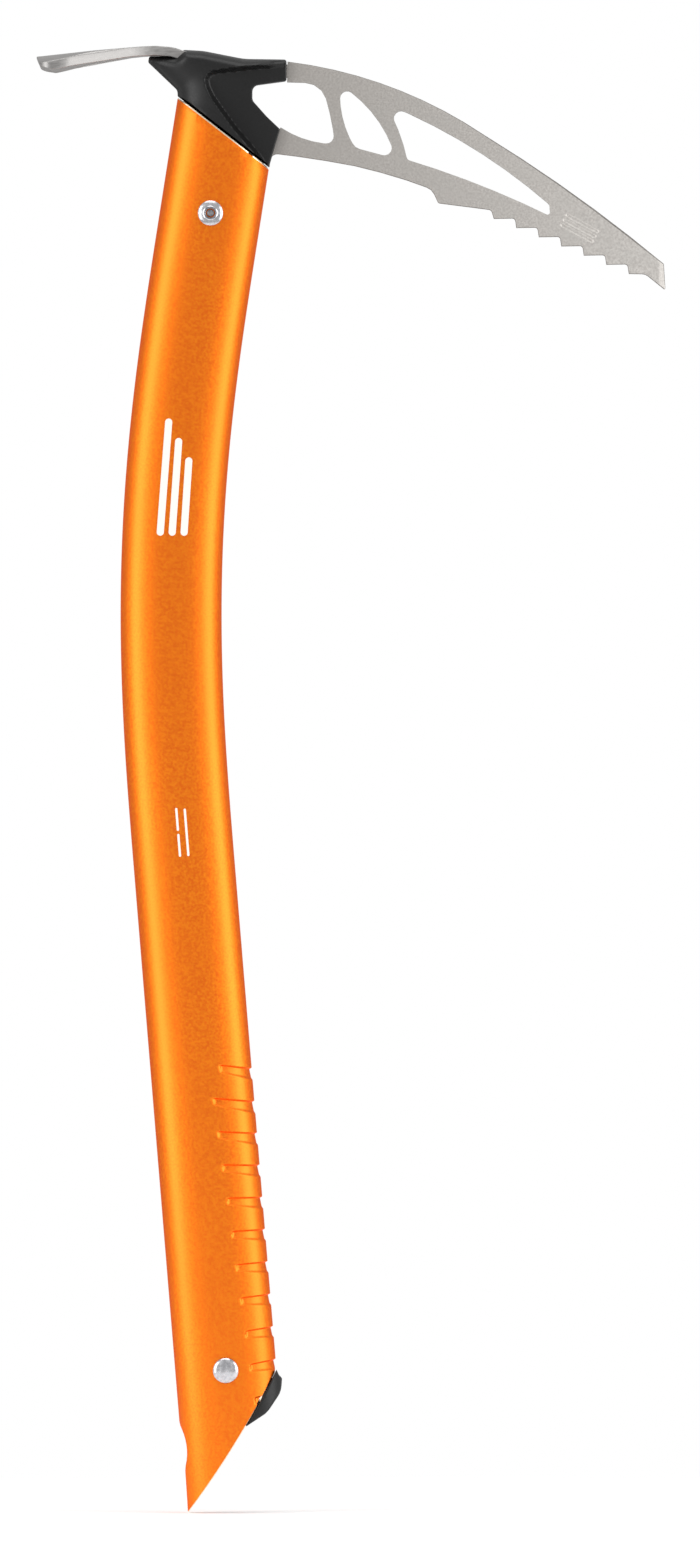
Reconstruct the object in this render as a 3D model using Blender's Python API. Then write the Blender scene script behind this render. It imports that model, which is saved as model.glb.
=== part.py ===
"""Compact ice axe: an oval aluminium shaft with a bend, a flat steel pick, a folded adze and a hollow spike.

Every size is in millimetres and becomes metres when a mesh is made. +Z is up, +X is the way the pick
points, and the axe is the same on both sides of Y = 0. The spike's tip stands on Z = 0, and X = 0 is
halfway between the pick's tip and the adze's edge. The head's outlines are measured from HEAD, the
middle of the slanted cut at the top of the shaft.
"""
import math
from collections import namedtuple

import bmesh
import bpy
import numpy as np
from mathutils import Vector
from mathutils.geometry import delaunay_2d_cdt

MM = 0.001
GAP = 0.3

# Overall
LENGTH = 452.6
PICK_REACH = 136.4
ADZE_REACH = 57.7
CROWN_RISE = 26.8

# Shaft: an oval tube that leans back above the grip and forward at the head
SHAFT_WIDTH = 31.2
SHAFT_THICKNESS = 19.0
SHAFT_WALL = 1.3
OVAL_POWER = 2.3
LEAN_FOOT = math.radians(-4.71)
LEAN_HEAD = math.radians(8.93)
BEND_START_BELOW_HEAD = 225.7
BEND_END_BELOW_HEAD = 30.9
HEAD_CUT_SLOPE = math.radians(37.9)

# Spike: the shaft's foot cut slantwise, with a notch in its back edge
FOOT_CUT_HEIGHT = 44.4
FOOT_CUT_BULGE = 1.2
TIP_RELIEF = 0.35
NOTCH_TOP = 27.4
NOTCH_MIDDLE = 20.5
NOTCH_FOOT = 13.9
NOTCH_DEPTH = 1.65

# Grip: pressed grooves across the front of the shaft
GROOVE_COUNT = 11
GROOVE_TOP = 137.0
GROOVE_PITCH = 10.27
GROOVE_DEPTH = 0.55
GROOVE_WIDTH = 3.4
GROOVE_START = 2.7
GROOVE_START_STEP = 0.58
FIRST_GROOVE_START = 5.6
GROOVE_SLOPE_TOP = math.radians(-7.0)
GROOVE_SLOPE_STEP = math.radians(1.9)
GROOVE_END_NARROWING = 0.55
GROOVE_END_SHALLOWING = 0.3

# Pick
PLATE_THICKNESS = 3.5
TIP_THICKNESS = 2.6
TIP_TAPER_LENGTH = 35.0
PICK_DROP = 40.4
TIP_FACE_HEIGHT = 8.2
TOOTH_COUNT = 7
TOOTH_PITCH = 7.5
TOOTH_ROW_SLOPE = math.radians(22.2)
TANG_LENGTH = 40.0

# Adze
ADZE_THICKNESS = 2.9
ADZE_WIDTH = 46.0
ADZE_NECK_WIDTH = 12.0
ADZE_ARCH = 2.7
ADZE_BEVEL = 5.5
ADZE_EDGE_THICKNESS = 0.8
EAR_REAR = -12.6
EAR_FRONT = -2.4
EAR_ABOVE_CUT = 2.4
EAR_STEP = 0.3

# Cover
ARM_HALF_THICKNESS = 4.4
SCOOP_DEPTH_LEFT = 2.4
BEAD_HALF_THICKNESS = 5.4
BEAD_SWELL = 2.0
CREASE_WIDTH = 1.6
ARM_END = 19.5
TOP_ROUNDING = 3.5
COVER_EDGE = 0.9
SPIGOT_LENGTH = 36.0

# Rivets
HEAD_RIVET_BELOW_HEAD = 25.2
FOOT_RIVET_HEIGHT = 44.1
RIVET_HEAD_DIAMETER = 8.0
RIVET_HEAD_HEIGHT = 1.6
RIVET_SHANK_DIAMETER = 4.8
MANDREL_DIAMETER = 2.2
ADZE_RIVET_DIAMETER = 3.6
ADZE_RIVET_HEAD_DIAMETER = 6.2
ADZE_RIVET_HEAD_HEIGHT = 1.1
ADZE_RIVETS = {"adze_rivet_front": (-7.2, 11.0), "adze_rivet_rear": (-9.6, 17.6)}

# Foot plug
PLUG_STEM_ABOVE_RIVET = 12.0
PLUG_FLOOR_HEIGHT = 29.0
PLUG_FLOOR_LIFT = 1.1
PLUG_LIP_STANDOUT = 1.75
PLUG_LIP_END = 0.385

HEAD = np.array([(ADZE_REACH - PICK_REACH) / 2, LENGTH - CROWN_RISE])
HALF_PLATE = PLATE_THICKNESS / 2

# How far cutters run past what they cut: to the sides, and upwards or downwards
ACROSS = 40.0
FAR = 100.0

# The tip that the blade's inner points are drawn for, from HEAD; they slide with the real tip
BLADE_ROOT_X = 15.0
DRAWN_TIP = (136.4, -40.4)

EAR_OUTSIDE = HALF_PLATE + GAP + ADZE_THICKNESS

Corner = namedtuple("Corner", "x z fillet via", defaults=(0.0, None))


# ---------------------------------------------------------------- shaft axis

def lean(z):
    """Angle of the shaft's axis from upright at height z: one smooth step between two straight runs."""
    start = HEAD[1] - BEND_START_BELOW_HEAD
    end = HEAD[1] - BEND_END_BELOW_HEAD
    t = np.clip((np.asarray(z, float) - start) / (end - start), 0.0, 1.0)
    return LEAN_FOOT + (LEAN_HEAD - LEAN_FOOT) * t * t * (3.0 - 2.0 * t)


AXIS_HEIGHTS = np.arange(-10.0, HEAD[1] + 40.0, 0.5)
AXIS_SUM = np.concatenate([[0.0], np.cumsum(0.5 * np.tan(lean(AXIS_HEIGHTS[:-1] + 0.25)))])


def axis_x(z):
    """X of the shaft's axis at height z, so that the axis passes through HEAD."""
    return HEAD[0] + np.interp(z, AXIS_HEIGHTS, AXIS_SUM) - np.interp(HEAD[1], AXIS_HEIGHTS, AXIS_SUM)


def edge_x(z, side, inset=0.0):
    """X of the shaft's front (side 1) or rear (side -1) edge at height z."""
    return axis_x(z) + side * (SHAFT_WIDTH / 2 - inset) / np.cos(lean(z))


def oval(z, angle, grow=0.0):
    """Point of the level section of the shaft at height z; angle 0 faces the front."""
    c, s = math.cos(angle), math.sin(angle)
    x = math.copysign(abs(c) ** (2 / OVAL_POWER), c) * (SHAFT_WIDTH / 2 + grow) / math.cos(lean(z))
    y = math.copysign(abs(s) ** (2 / OVAL_POWER), s) * (SHAFT_THICKNESS / 2 + grow)
    return (float(axis_x(z)) + x, y, z)


# ---------------------------------------------------------------- outlines

def arc_points(a, via, b, chord_error):
    """Points of the arc from a through via to b, without a itself."""
    (ax, az), (vx, vz), (bx, bz) = a, via, b
    d = 2 * (ax * (vz - bz) + vx * (bz - az) + bx * (az - vz))
    sa, sv, sb = ax * ax + az * az, vx * vx + vz * vz, bx * bx + bz * bz
    cx = (sa * (vz - bz) + sv * (bz - az) + sb * (az - vz)) / d
    cz = (sa * (bx - vx) + sv * (ax - bx) + sb * (vx - ax)) / d
    radius = math.hypot(ax - cx, az - cz)
    start = math.atan2(az - cz, ax - cx)
    turn_via = (math.atan2(vz - cz, vx - cx) - start) % math.tau
    turn = (math.atan2(bz - cz, bx - cx) - start) % math.tau
    if turn_via > turn:
        turn -= math.tau
    step = 2 * math.acos(1 - min(chord_error / radius, 0.5))
    count = max(2, math.ceil(abs(turn) / step))
    angles = [start + turn * k / count for k in range(1, count + 1)]
    return [(cx + radius * math.cos(t), cz + radius * math.sin(t)) for t in angles]


def trim(points, length):
    """The polyline without its first length."""
    points = list(points)
    while len(points) > 2 and math.dist(points[0], points[1]) <= length:
        length -= math.dist(points[0], points[1])
        points.pop(0)
    a, b = points[0], points[1]
    t = min(length / math.dist(a, b), 0.98)
    return [(a[0] + (b[0] - a[0]) * t, a[1] + (b[1] - a[1]) * t)] + points[1:]


def outline(corners, chord_error=0.06):
    """Closed outline from Corner records; via bends the side after a corner, fillet rounds the corner."""
    count = len(corners)
    sides = []
    for k, c in enumerate(corners):
        n = corners[(k + 1) % count]
        if c.via is None:
            sides.append([(c.x, c.z), (n.x, n.z)])
        else:
            sides.append([(c.x, c.z)] + arc_points((c.x, c.z), c.via, (n.x, n.z), chord_error))
    fillets = [[] for _ in corners]
    for k, c in enumerate(corners):
        if c.fillet <= 0:
            continue
        before, after = sides[k - 1], sides[k]
        d0 = Vector(before[-1]) - Vector(before[-2])
        d1 = Vector(after[1]) - Vector(after[0])
        turn = abs(d0.angle_signed(d1))
        room = 0.48 * min(sum(math.dist(p, q) for p, q in zip(s, s[1:])) for s in (before, after))
        cut = min(c.fillet * math.tan(turn / 2), room)
        before = trim(before[::-1], cut)[::-1]
        after = trim(after, cut)
        sides[k - 1], sides[k] = before, after
        weight = math.cos(turn / 2)
        steps = max(2, math.ceil(turn / 0.45))
        for j in range(1, steps):
            t = j / steps
            w0, w1, w2 = (1 - t) ** 2, 2 * weight * t * (1 - t), t * t
            total = w0 + w1 + w2
            fillets[k].append(tuple((w0 * before[-1][i] + w1 * (c.x, c.z)[i] + w2 * after[0][i]) / total
                                    for i in (0, 1)))
    points = []
    for k in range(count):
        points += fillets[k] + sides[k]
    return [p for p, q in zip(points, points[1:] + points[:1]) if math.dist(p, q) > 0.01]


def from_head(points):
    """Corners given from HEAD, moved into the axe's frame."""
    def move(p):
        return (p[0] + HEAD[0], p[1] + HEAD[1])
    return [Corner(*move(c), c.fillet, c.via and move(c.via)) for c in points]


def grown(points, distance):
    """Outline moved outwards by distance."""
    p = np.array(points)
    ahead = np.roll(p, -1, axis=0) - p
    ahead /= np.linalg.norm(ahead, axis=1)[:, None]
    behind = np.roll(ahead, 1, axis=0)
    area = np.sum(p[:, 0] * np.roll(p[:, 1], -1) - np.roll(p[:, 0], -1) * p[:, 1])
    normal = np.column_stack([(ahead + behind)[:, 1], -(ahead + behind)[:, 0]])
    normal /= (1 + np.sum(ahead * behind, axis=1))[:, None]
    return [tuple(q) for q in p + math.copysign(distance, area) * normal]


def distance_to(line, x, z):
    """Distance from (x, z) to an open line, and the side of it (1 is to the right of its direction)."""
    best, side = 1e9, 1.0
    for (ax, az), (bx, bz) in zip(line, line[1:]):
        dx, dz = bx - ax, bz - az
        t = min(1.0, max(0.0, ((x - ax) * dx + (z - az) * dz) / (dx * dx + dz * dz)))
        gap = math.hypot(x - ax - t * dx, z - az - t * dz)
        if gap < best:
            best = gap
            side = 1.0 if (x - ax) * dz - (z - az) * dx > 0 else -1.0
    return best, side


def is_inside(x, z, loops):
    """Even-odd test of a point against closed loops."""
    hit = False
    for loop in loops:
        for (ax, az), (bx, bz) in zip(loop, loop[1:] + loop[:1]):
            if (az > z) != (bz > z) and x < ax + (z - az) * (bx - ax) / (bz - az):
                hit = not hit
    return hit


# ---------------------------------------------------------------- meshes

def material(name, colour, roughness, metallic):
    """Principled material with a flat colour."""
    made = bpy.data.materials.new(name)
    made.use_nodes = True
    shader = made.node_tree.nodes["Principled BSDF"]
    shader.inputs["Base Color"].default_value = (*colour, 1.0)
    shader.inputs["Roughness"].default_value = roughness
    shader.inputs["Metallic"].default_value = metallic
    made.diffuse_color = (*colour, 1.0)
    return made


def solid(name, verts, faces, finish=None):
    """Object at HEAD from millimetre vertices in the axe's frame; without a finish it is a cutter."""
    mesh = bpy.data.meshes.new(name)
    bm = bmesh.new()
    made = [bm.verts.new(((x - HEAD[0]) * MM, y * MM, (z - HEAD[1]) * MM)) for x, y, z in verts]
    for face in faces:
        bm.faces.new([made[i] for i in face])
    bmesh.ops.recalc_face_normals(bm, faces=bm.faces)
    bm.to_mesh(mesh)
    bm.free()
    thing = bpy.data.objects.new(name, mesh)
    thing.location = (HEAD[0] * MM, 0.0, HEAD[1] * MM)
    bpy.context.scene.collection.objects.link(thing)
    if finish is None:
        thing.hide_render = True
        thing.display_type = "WIRE"
    else:
        mesh.materials.append(finish)
        mesh.shade_smooth()
        mesh.set_sharp_from_angle(angle=math.radians(35))
    return thing


def side_on(u, v, w):
    """Slab drawn in the X-Z plane, thick along Y."""
    return (u, w, v)


def flat_on(u, v, w):
    """Slab drawn in the X-Y plane, thick along Z."""
    return (u, v, w)


def slab(name, loops, low, high, finish=None, place=side_on, extra=(), creases=()):
    """Solid over outlines (the first outside, the others holes) between two height functions."""
    coords, edges = [], []
    for loop in loops:
        first = len(coords)
        coords += loop
        edges += [(first + k, first + (k + 1) % len(loop)) for k in range(len(loop))]
    for line in creases:
        first = len(coords)
        coords += line
        edges += [(first + k, first + k + 1) for k in range(len(line) - 1)]
    coords += [p for p in extra if is_inside(*p, loops)]
    flat, _, triangles, *_ = delaunay_2d_cdt([Vector(p) for p in coords], edges, [], 0, 1e-4, False)
    kept = []
    for tri in triangles:
        x = sum(flat[i][0] for i in tri) / 3
        z = sum(flat[i][1] for i in tri) / 3
        if is_inside(x, z, loops):
            kept.append(list(tri))
    directed = {(a, b) for tri in kept for a, b in zip(tri, tri[1:] + tri[:1])}
    rim = [(a, b) for a, b in directed if (b, a) not in directed]
    used = sorted({i for tri in kept for i in tri})
    order = {i: k for k, i in enumerate(used)}
    size = len(used)
    verts = [place(*flat[i], low(*flat[i])) for i in used] + [place(*flat[i], high(*flat[i])) for i in used]
    faces = [[order[i] for i in tri] for tri in kept]
    faces += [[order[i] + size for i in reversed(tri)] for tri in kept]
    faces += [[order[b], order[a], order[a] + size, order[b] + size] for a, b in sorted(rim)]
    return solid(name, verts, faces, finish)


def level(value):
    """Constant height function."""
    return lambda x, z: value


def swept(name, rings, finish=None, hollow=None):
    """Solid through rings of points, closed at both ends, or a tube with hollow as its inner rings."""
    count = len(rings[0])
    verts = [p for ring in rings for p in ring]
    faces = []

    def skin(first, total):
        for r in range(total - 1):
            for k in range(count):
                a = first + r * count + k
                b = first + r * count + (k + 1) % count
                faces.append((a, b, b + count, a + count))

    skin(0, len(rings))
    last = (len(rings) - 1) * count
    if hollow is None:
        faces.append(tuple(range(count)))
        faces.append(tuple(range(last, last + count)))
    else:
        inner = len(verts)
        verts += [p for ring in hollow for p in ring]
        skin(inner, len(hollow))
        for end in (0, last):
            for k in range(count):
                n = (k + 1) % count
                faces.append((end + k, end + n, inner + end + n, inner + end + k))
    return solid(name, verts, faces, finish)


def turned(name, profile, centre, finish=None, count=24):
    """Solid turned about a line along Y; profile holds (radius, y), closed when it has no axis point."""
    cx, cz = centre
    verts, rows = [], []
    for radius, y in profile:
        if radius == 0:
            rows.append([len(verts)])
            verts.append((cx, y, cz))
            continue
        rows.append(list(range(len(verts), len(verts) + count)))
        for k in range(count):
            t = math.tau * k / count
            verts.append((cx + radius * math.cos(t), y, cz + radius * math.sin(t)))
    pairs = list(zip(rows, rows[1:]))
    if len(rows[0]) > 1:
        pairs.append((rows[-1], rows[0]))
    faces = []
    for a, b in pairs:
        for k in range(count):
            n = (k + 1) % count
            if len(a) == 1:
                faces.append((a[0], b[k], b[n]))
            elif len(b) == 1:
                faces.append((a[k], a[n], b[0]))
            else:
                faces.append((a[k], a[n], b[n], b[k]))
    return solid(name, verts, faces, finish)


def cut(target, cutter, operation="DIFFERENCE"):
    """Boolean of target with cutter."""
    step = target.modifiers.new(cutter.name, "BOOLEAN")
    step.operation = operation
    step.solver = "EXACT"
    step.object = cutter
    cutter.hide_render = True
    cutter.display_type = "WIRE"


def bore(name, centre, diameter, reach=ACROSS):
    """Round cutter along Y."""
    radius = diameter / 2
    return turned(name, [(0, -reach), (radius, -reach), (radius, reach), (0, reach)], centre)


def above(name, rear, front):
    """Cutter for all that is above the line from rear to front."""
    corners = [tuple(rear), tuple(front), (front[0] + FAR, front[1] + FAR), (rear[0] - FAR, rear[1] + FAR)]
    return slab(name, [corners], level(-ACROSS), level(ACROSS))


# ---------------------------------------------------------------- shaft

def head_corner(side):
    """End of the slanted cut at the front (side 1) or rear (side -1) edge of the shaft."""
    half = SHAFT_WIDTH / 2 / math.cos(HEAD_CUT_SLOPE - LEAN_HEAD)
    return HEAD + side * half * np.array([math.cos(HEAD_CUT_SLOPE), -math.sin(HEAD_CUT_SLOPE)])


def along_head(distance):
    """Point on the shaft's axis, distance above HEAD."""
    return HEAD + distance * np.array([math.sin(LEAN_HEAD), math.cos(LEAN_HEAD)])


def foot_cut(t, beyond=0.0):
    """Point of the slanted foot cut: t runs from the front edge to the spike's tip, in a shallow curve."""
    front = np.array([edge_x(FOOT_CUT_HEIGHT, 1), FOOT_CUT_HEIGHT])
    tip = np.array([edge_x(0.0, -1) + TIP_RELIEF, 0.0])
    run = (tip - front) / np.linalg.norm(tip - front)
    out = np.array([-run[1], run[0]])
    return tuple(front + (tip - front) * t + out * (4 * FOOT_CUT_BULGE * t * (1 - t) + beyond))


def below_foot_cut(name, beyond=0.0):
    """Cutter for all that is below the foot cut, or below a line parallel to it."""
    line = [foot_cut(t, beyond) for t in np.linspace(-0.3, 1.1, 11)]
    corners = line + [(line[-1][0], -FAR), (line[0][0] + FAR, -FAR), (line[0][0] + FAR, line[0][1])]
    return slab(name, [corners], level(-ACROSS), level(ACROSS))


def shaft_rings(heights, count, grow):
    """Level sections of the shaft, made larger by grow."""
    return [[oval(z, math.tau * k / count, grow) for k in range(count)] for z in heights]


def groove(index):
    """Cutter for one pressed groove: a band that wraps the front and fades at both ends."""
    start = FIRST_GROOVE_START if index == 0 else GROOVE_START + GROOVE_START_STEP * (index - 1)
    slope = GROOVE_SLOPE_TOP + GROOVE_SLOPE_STEP * index
    height = GROOVE_TOP - GROOVE_PITCH * index
    limit = math.acos((2 * start / SHAFT_WIDTH) ** (OVAL_POWER / 2))
    last, outside, lip = 6, 0.8, 0.2
    rings = []
    for k in range(-last, last + 1):
        angle = limit * k / last
        z = height + (oval(height, angle)[0] - float(axis_x(height)) - start) * math.tan(slope)
        width = GROOVE_WIDTH / 2 * (1.0 if abs(k) < last else GROOVE_END_NARROWING)
        depth = GROOVE_DEPTH * (1.0 if abs(k) < last else GROOVE_END_SHALLOWING)
        rings.append([oval(z + width + lip, angle, outside), oval(z + width * 0.5, angle, -depth),
                      oval(z - width * 0.1, angle, -depth), oval(z - width - lip, angle, outside)])
    return swept(f"groove_cutter_{index}", rings)


def make_shaft(finish):
    """Oval tube, cut slantwise at both ends, notched at the spike and grooved at the grip."""
    bend = np.linspace(HEAD[1] - BEND_START_BELOW_HEAD, HEAD[1] - BEND_END_BELOW_HEAD, 11)
    heights = [-4.0, *bend, HEAD[1] + 30.0]
    shaft = swept("shaft_tube", shaft_rings(heights, 36, 0.0), finish,
                  hollow=shaft_rings(heights, 36, -SHAFT_WALL))
    front, rear = head_corner(1), head_corner(-1)
    run = front - rear
    cut(shaft, above("head_cutter", rear - run, front + run))
    cut(shaft, below_foot_cut("foot_cutter"))

    def back(z, depth):
        return (float(edge_x(z, -1)) + depth, z)

    notch = outline([Corner(*back(NOTCH_TOP, 0), via=back(NOTCH_MIDDLE, NOTCH_DEPTH)),
                     Corner(*back(NOTCH_FOOT, 0.6)), Corner(*back(-6, TIP_RELIEF)), Corner(*back(-6, -9)),
                     Corner(*back(NOTCH_TOP, -9))])
    cut(shaft, slab("notch_cutter", [notch], level(-ACROSS), level(ACROSS)))
    for index in range(GROOVE_COUNT):
        cut(shaft, groove(index))
    cut(shaft, bore("shaft_head_bore", head_rivet_centre(), RIVET_SHANK_DIAMETER + 2 * GAP))
    cut(shaft, bore("shaft_foot_bore", foot_rivet_centre(), RIVET_SHANK_DIAMETER + 2 * GAP))


def head_rivet_centre():
    """Place of the blind rivet below the head."""
    return tuple(along_head(-HEAD_RIVET_BELOW_HEAD))


def foot_rivet_centre():
    """Place of the solid rivet above the spike."""
    return (float(axis_x(FOOT_RIVET_HEIGHT)), FOOT_RIVET_HEIGHT)


# ---------------------------------------------------------------- pick

def tongue_top(x):
    """Height above HEAD of the adze's top face along its middle; x is measured from HEAD."""
    xs = (-ADZE_REACH, -ADZE_REACH + 18.4, -24.6, -20.6, -15.1, -12.6, -10.6, -5.6, 0.0)
    zs = (CROWN_RISE - 3.3, CROWN_RISE - 1.3, CROWN_RISE - 0.2, CROWN_RISE, CROWN_RISE - 0.5,
          CROWN_RISE - 1.4, CROWN_RISE - 2.4, CROWN_RISE - 3.4, CROWN_RISE - 4.4)
    return float(np.interp(x, xs, zs))


def ledge(x):
    """Height above HEAD of the pick's rear top edge, just under the adze's tongue."""
    return tongue_top(x) - ADZE_THICKNESS - GAP


def tang_corner(side, below):
    """Corner of the tang inside the shaft, from HEAD."""
    inset = SHAFT_WALL + 2 * GAP
    across = side * (SHAFT_WIDTH / 2 - inset)
    return (across * math.cos(LEAN_HEAD) - below * math.sin(LEAN_HEAD),
            -across * math.sin(LEAN_HEAD) - below * math.cos(LEAN_HEAD))


def rear_corners():
    """Rear top of the plate inside the cover: the ledge under the adze, then the step up to the arm."""
    steps = [Corner(x, ledge(x)) for x in (-15.1, -12.6, -10.6, -5.6, 0.9)]
    return [Corner(-19.2, CROWN_RISE - 5.7, 1.0), Corner(-18.1, ledge(-18.1), 0.5), *steps,
            Corner(1.2, CROWN_RISE - 5.9, 1.0)]


def tang_corners():
    """The tang, which runs down inside the shaft past the head rivet."""
    mouth = (SHAFT_WIDTH / 2 - SHAFT_WALL - 2 * GAP) * math.tan(HEAD_CUT_SLOPE - LEAN_HEAD)
    return [Corner(*tang_corner(1, mouth - 0.5)), Corner(*tang_corner(1, TANG_LENGTH), 6.0),
            Corner(*tang_corner(-1, TANG_LENGTH), 6.0), Corner(*tang_corner(-1, -mouth - 1.2)),
            Corner(-12.8, 14.8, 2.0)]


def lining_corners():
    """Edge of the grip window where the cover lines it, from the lower arm to the upper one."""
    return [Corner(17.0, 0.4), Corner(9.8, 7.0, 3.0), Corner(7.5, 10.6, 2.0), Corner(8.0, 16.6, 4.0)]


def blade(x, z, fillet=0.0, via=None):
    """Corner of the blade, drawn for DRAWN_TIP and moved with the real tip by its share of the way there."""
    def slide(px, pz):
        share = (px - BLADE_ROOT_X) / (DRAWN_TIP[0] - BLADE_ROOT_X)
        return (px + share * (PICK_REACH - DRAWN_TIP[0]), pz - share * (PICK_DROP + DRAWN_TIP[1]))
    return Corner(*slide(x, z), fillet, via and slide(*via))


def pick_outline():
    """Outside of the pick plate, from the rear under the cover round by the tip to the tang."""
    tip_low = (PICK_REACH, -PICK_DROP - TIP_FACE_HEIGHT)
    front = head_corner(1) - HEAD
    corners = rear_corners()
    corners += [Corner(19.8, CROWN_RISE - 5.7), blade(19.8, CROWN_RISE - 4.8, via=(51.4, 14.3)),
                blade(80.4, -0.6, via=(110.7, -20.8)), Corner(PICK_REACH - 0.5, -PICK_DROP),
                Corner(*tip_low, 0.3), Corner(tip_low[0] - 6.2, tip_low[1] + 5.0, 3.0)]
    first_tooth = np.array([tip_low[0] - 11.3, tip_low[1] + 5.1])
    along = np.array([-math.cos(TOOTH_ROW_SLOPE), math.sin(TOOTH_ROW_SLOPE)])
    teeth = [first_tooth + along * TOOTH_PITCH * k for k in range(TOOTH_COUNT)]
    for point in teeth[:-1]:
        corners += [Corner(*point), Corner(point[0] - 0.45, point[1] + 2.95, 0.9)]
    corners += [Corner(*teeth[-1]), Corner(teeth[-1][0] - 0.8, teeth[-1][1] + 2.7, 1.2),
                blade(66.3, -21.7, 0.8), blade(64.3, -17.4, 4.0, (51.7, -13.13)),
                blade(40.4, -10.2, via=(26.0, -7.75)),
                Corner(front[0] + 0.7, -6.3, 4.5), Corner(front[0] + 0.15, front[1] + 0.4)]
    return from_head(corners + tang_corners())


def pick_pocket():
    """The stretch of the plate that the covers hold, run on past their ends."""
    past = 24.0
    corners = rear_corners() + [Corner(past, CROWN_RISE - 5.6), Corner(past, 17.2)] + lining_corners()[::-1]
    corners += [Corner(17.7, 1.5), Corner(past, -4.5), Corner(past, -TANG_LENGTH)]
    return from_head(corners + tang_corners()[1:])


def hole_outlines():
    """The three windows of the pick; the first is set back where the cover lines it."""
    grip_window = [blade(19.8, 15.8), blade(30.2, 15.5, 8.0, (33.2, 4.9)),
                   blade(34.55, -3.6, 2.4, (25.0, -2.05)), Corner(17.7, 1.5), *lining_corners(),
                   Corner(19.8, 17.2)]
    middle_window = [blade(35.95, 15.1, 2.4, (46.1, 6.2)), blade(53.5, -8.2, 2.5),
                     blade(40.5, -4.72, 3.6, (36.6, 4.8))]
    front_window = [blade(49.6, 9.39, 2.3, (78.86, -5.69)), blade(100.75, -22.05, 1.5),
                    blade(101.0, -25.95, 0.9, (81.33, -17.13)), blade(56.6, -8.4, 1.5, (54.24, -0.24))]
    return [from_head(w) for w in (grip_window, middle_window, front_window)]


def make_pick(finish):
    """Flat plate, thinned towards its tip."""
    taper_start = PICK_REACH - TIP_TAPER_LENGTH + HEAD[0]

    def half(x, _):
        t = min(1.0, max(0.0, (x - taper_start) / TIP_TAPER_LENGTH))
        return (PLATE_THICKNESS + (TIP_THICKNESS - PLATE_THICKNESS) * t) / 2

    loops = [outline(pick_outline())] + [outline(w) for w in hole_outlines()]
    crease = [(taper_start, HEAD[1] - 60.0), (taper_start, HEAD[1] + 30.0)]
    pick = slab("pick_blade", loops, lambda x, z: -half(x, z), half, finish, creases=[crease])
    for name, (x, z) in ADZE_RIVETS.items():
        cut(pick, bore(f"pick_bore_{name}", (HEAD[0] + x, HEAD[1] + z), ADZE_RIVET_DIAMETER + 2 * GAP))
    cut(pick, bore("pick_head_bore", head_rivet_centre(), RIVET_SHANK_DIAMETER + 2 * GAP))


# ---------------------------------------------------------------- adze

def adze_plan(gap=0.0):
    """Plan of the adze, seen from above, as corners (x, y)."""
    neck = ADZE_NECK_WIDTH / 2 + gap
    wide = ADZE_WIDTH / 2
    root = EAR_OUTSIDE - EAR_STEP + gap
    half = [Corner(EAR_FRONT + EAR_STEP + gap, root), Corner(-13.5 + gap, root, 1.5),
            Corner(-15.5 + gap, neck, 2.0), Corner(-23.0, neck, 22.0),
            Corner(-ADZE_REACH + 9.0, wide - 0.6, 12.0), Corner(-ADZE_REACH + 1.2, wide, 4.0)]
    other = [c._replace(z=-c.z) for c in reversed(half)]
    half[-1] = half[-1]._replace(via=(-ADZE_REACH, 0.0))
    return [Corner(c.x + HEAD[0], c.z, c.fillet, c.via and (c.via[0] + HEAD[0], c.via[1]))
            for c in half + other]


def adze_top(x, y):
    """Top face of the adze: the profile of its middle, arched down towards its side edges."""
    local = x - HEAD[0]
    flare = min(1.0, max(0.0, (-20.0 - local) / (ADZE_REACH - 20.0)))
    return HEAD[1] + tongue_top(local) - ADZE_ARCH * flare * (2 * y / ADZE_WIDTH) ** 2


def adze_underside(x, y):
    """Lower face, ground away towards the cutting edge."""
    edge = x - HEAD[0] + ADZE_REACH
    t = min(1.0, max(0.0, edge / ADZE_BEVEL))
    return adze_top(x, y) - ADZE_EDGE_THICKNESS - (ADZE_THICKNESS - ADZE_EDGE_THICKNESS) * t


def ear(name, side, gap=0.0):
    """One ear, folded down beside the pick plate."""
    front, rear = EAR_FRONT + gap, EAR_REAR - gap
    foot = EAR_ABOVE_CUT - gap
    box = [Corner(rear, foot - rear * math.tan(HEAD_CUT_SLOPE), 1.5),
           Corner(front, foot - front * math.tan(HEAD_CUT_SLOPE), 1.5),
           Corner(front, tongue_top(front) - 3 * EAR_STEP), Corner(rear, tongue_top(rear) - 3 * EAR_STEP)]
    inside, outside = HALF_PLATE + GAP - gap, EAR_OUTSIDE + gap
    low, high = sorted((side * inside, side * outside))
    return slab(name, [outline(from_head(box))], level(low), level(high))


def adze_grid():
    """Points over the adze's plan, closer together where its middle is bent."""
    local = [*np.linspace(-ADZE_REACH, -24.6, 8), -20.6, -15.1, -12.6, -10.6, -5.6]
    across = np.linspace(-ADZE_WIDTH / 2, ADZE_WIDTH / 2, 13)
    return [(float(x + HEAD[0]), float(y)) for x in local for y in across]


def make_adze(finish):
    """Folded sheet: a flared blade, a neck and two ears."""
    grid = adze_grid()
    bevel = -ADZE_REACH + ADZE_BEVEL + HEAD[0]
    adze = slab("adze_blade", [outline(adze_plan())], adze_underside, adze_top, finish, flat_on, grid,
                creases=[[(bevel, -ADZE_WIDTH), (bevel, ADZE_WIDTH)]])
    for side in (1, -1):
        cut(adze, ear(f"ear_{side}", side), "UNION")
    for name, (x, z) in ADZE_RIVETS.items():
        cut(adze, bore(f"adze_bore_{name}", (HEAD[0] + x, HEAD[1] + z), ADZE_RIVET_DIAMETER + 2 * GAP))


# ---------------------------------------------------------------- covers

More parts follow.
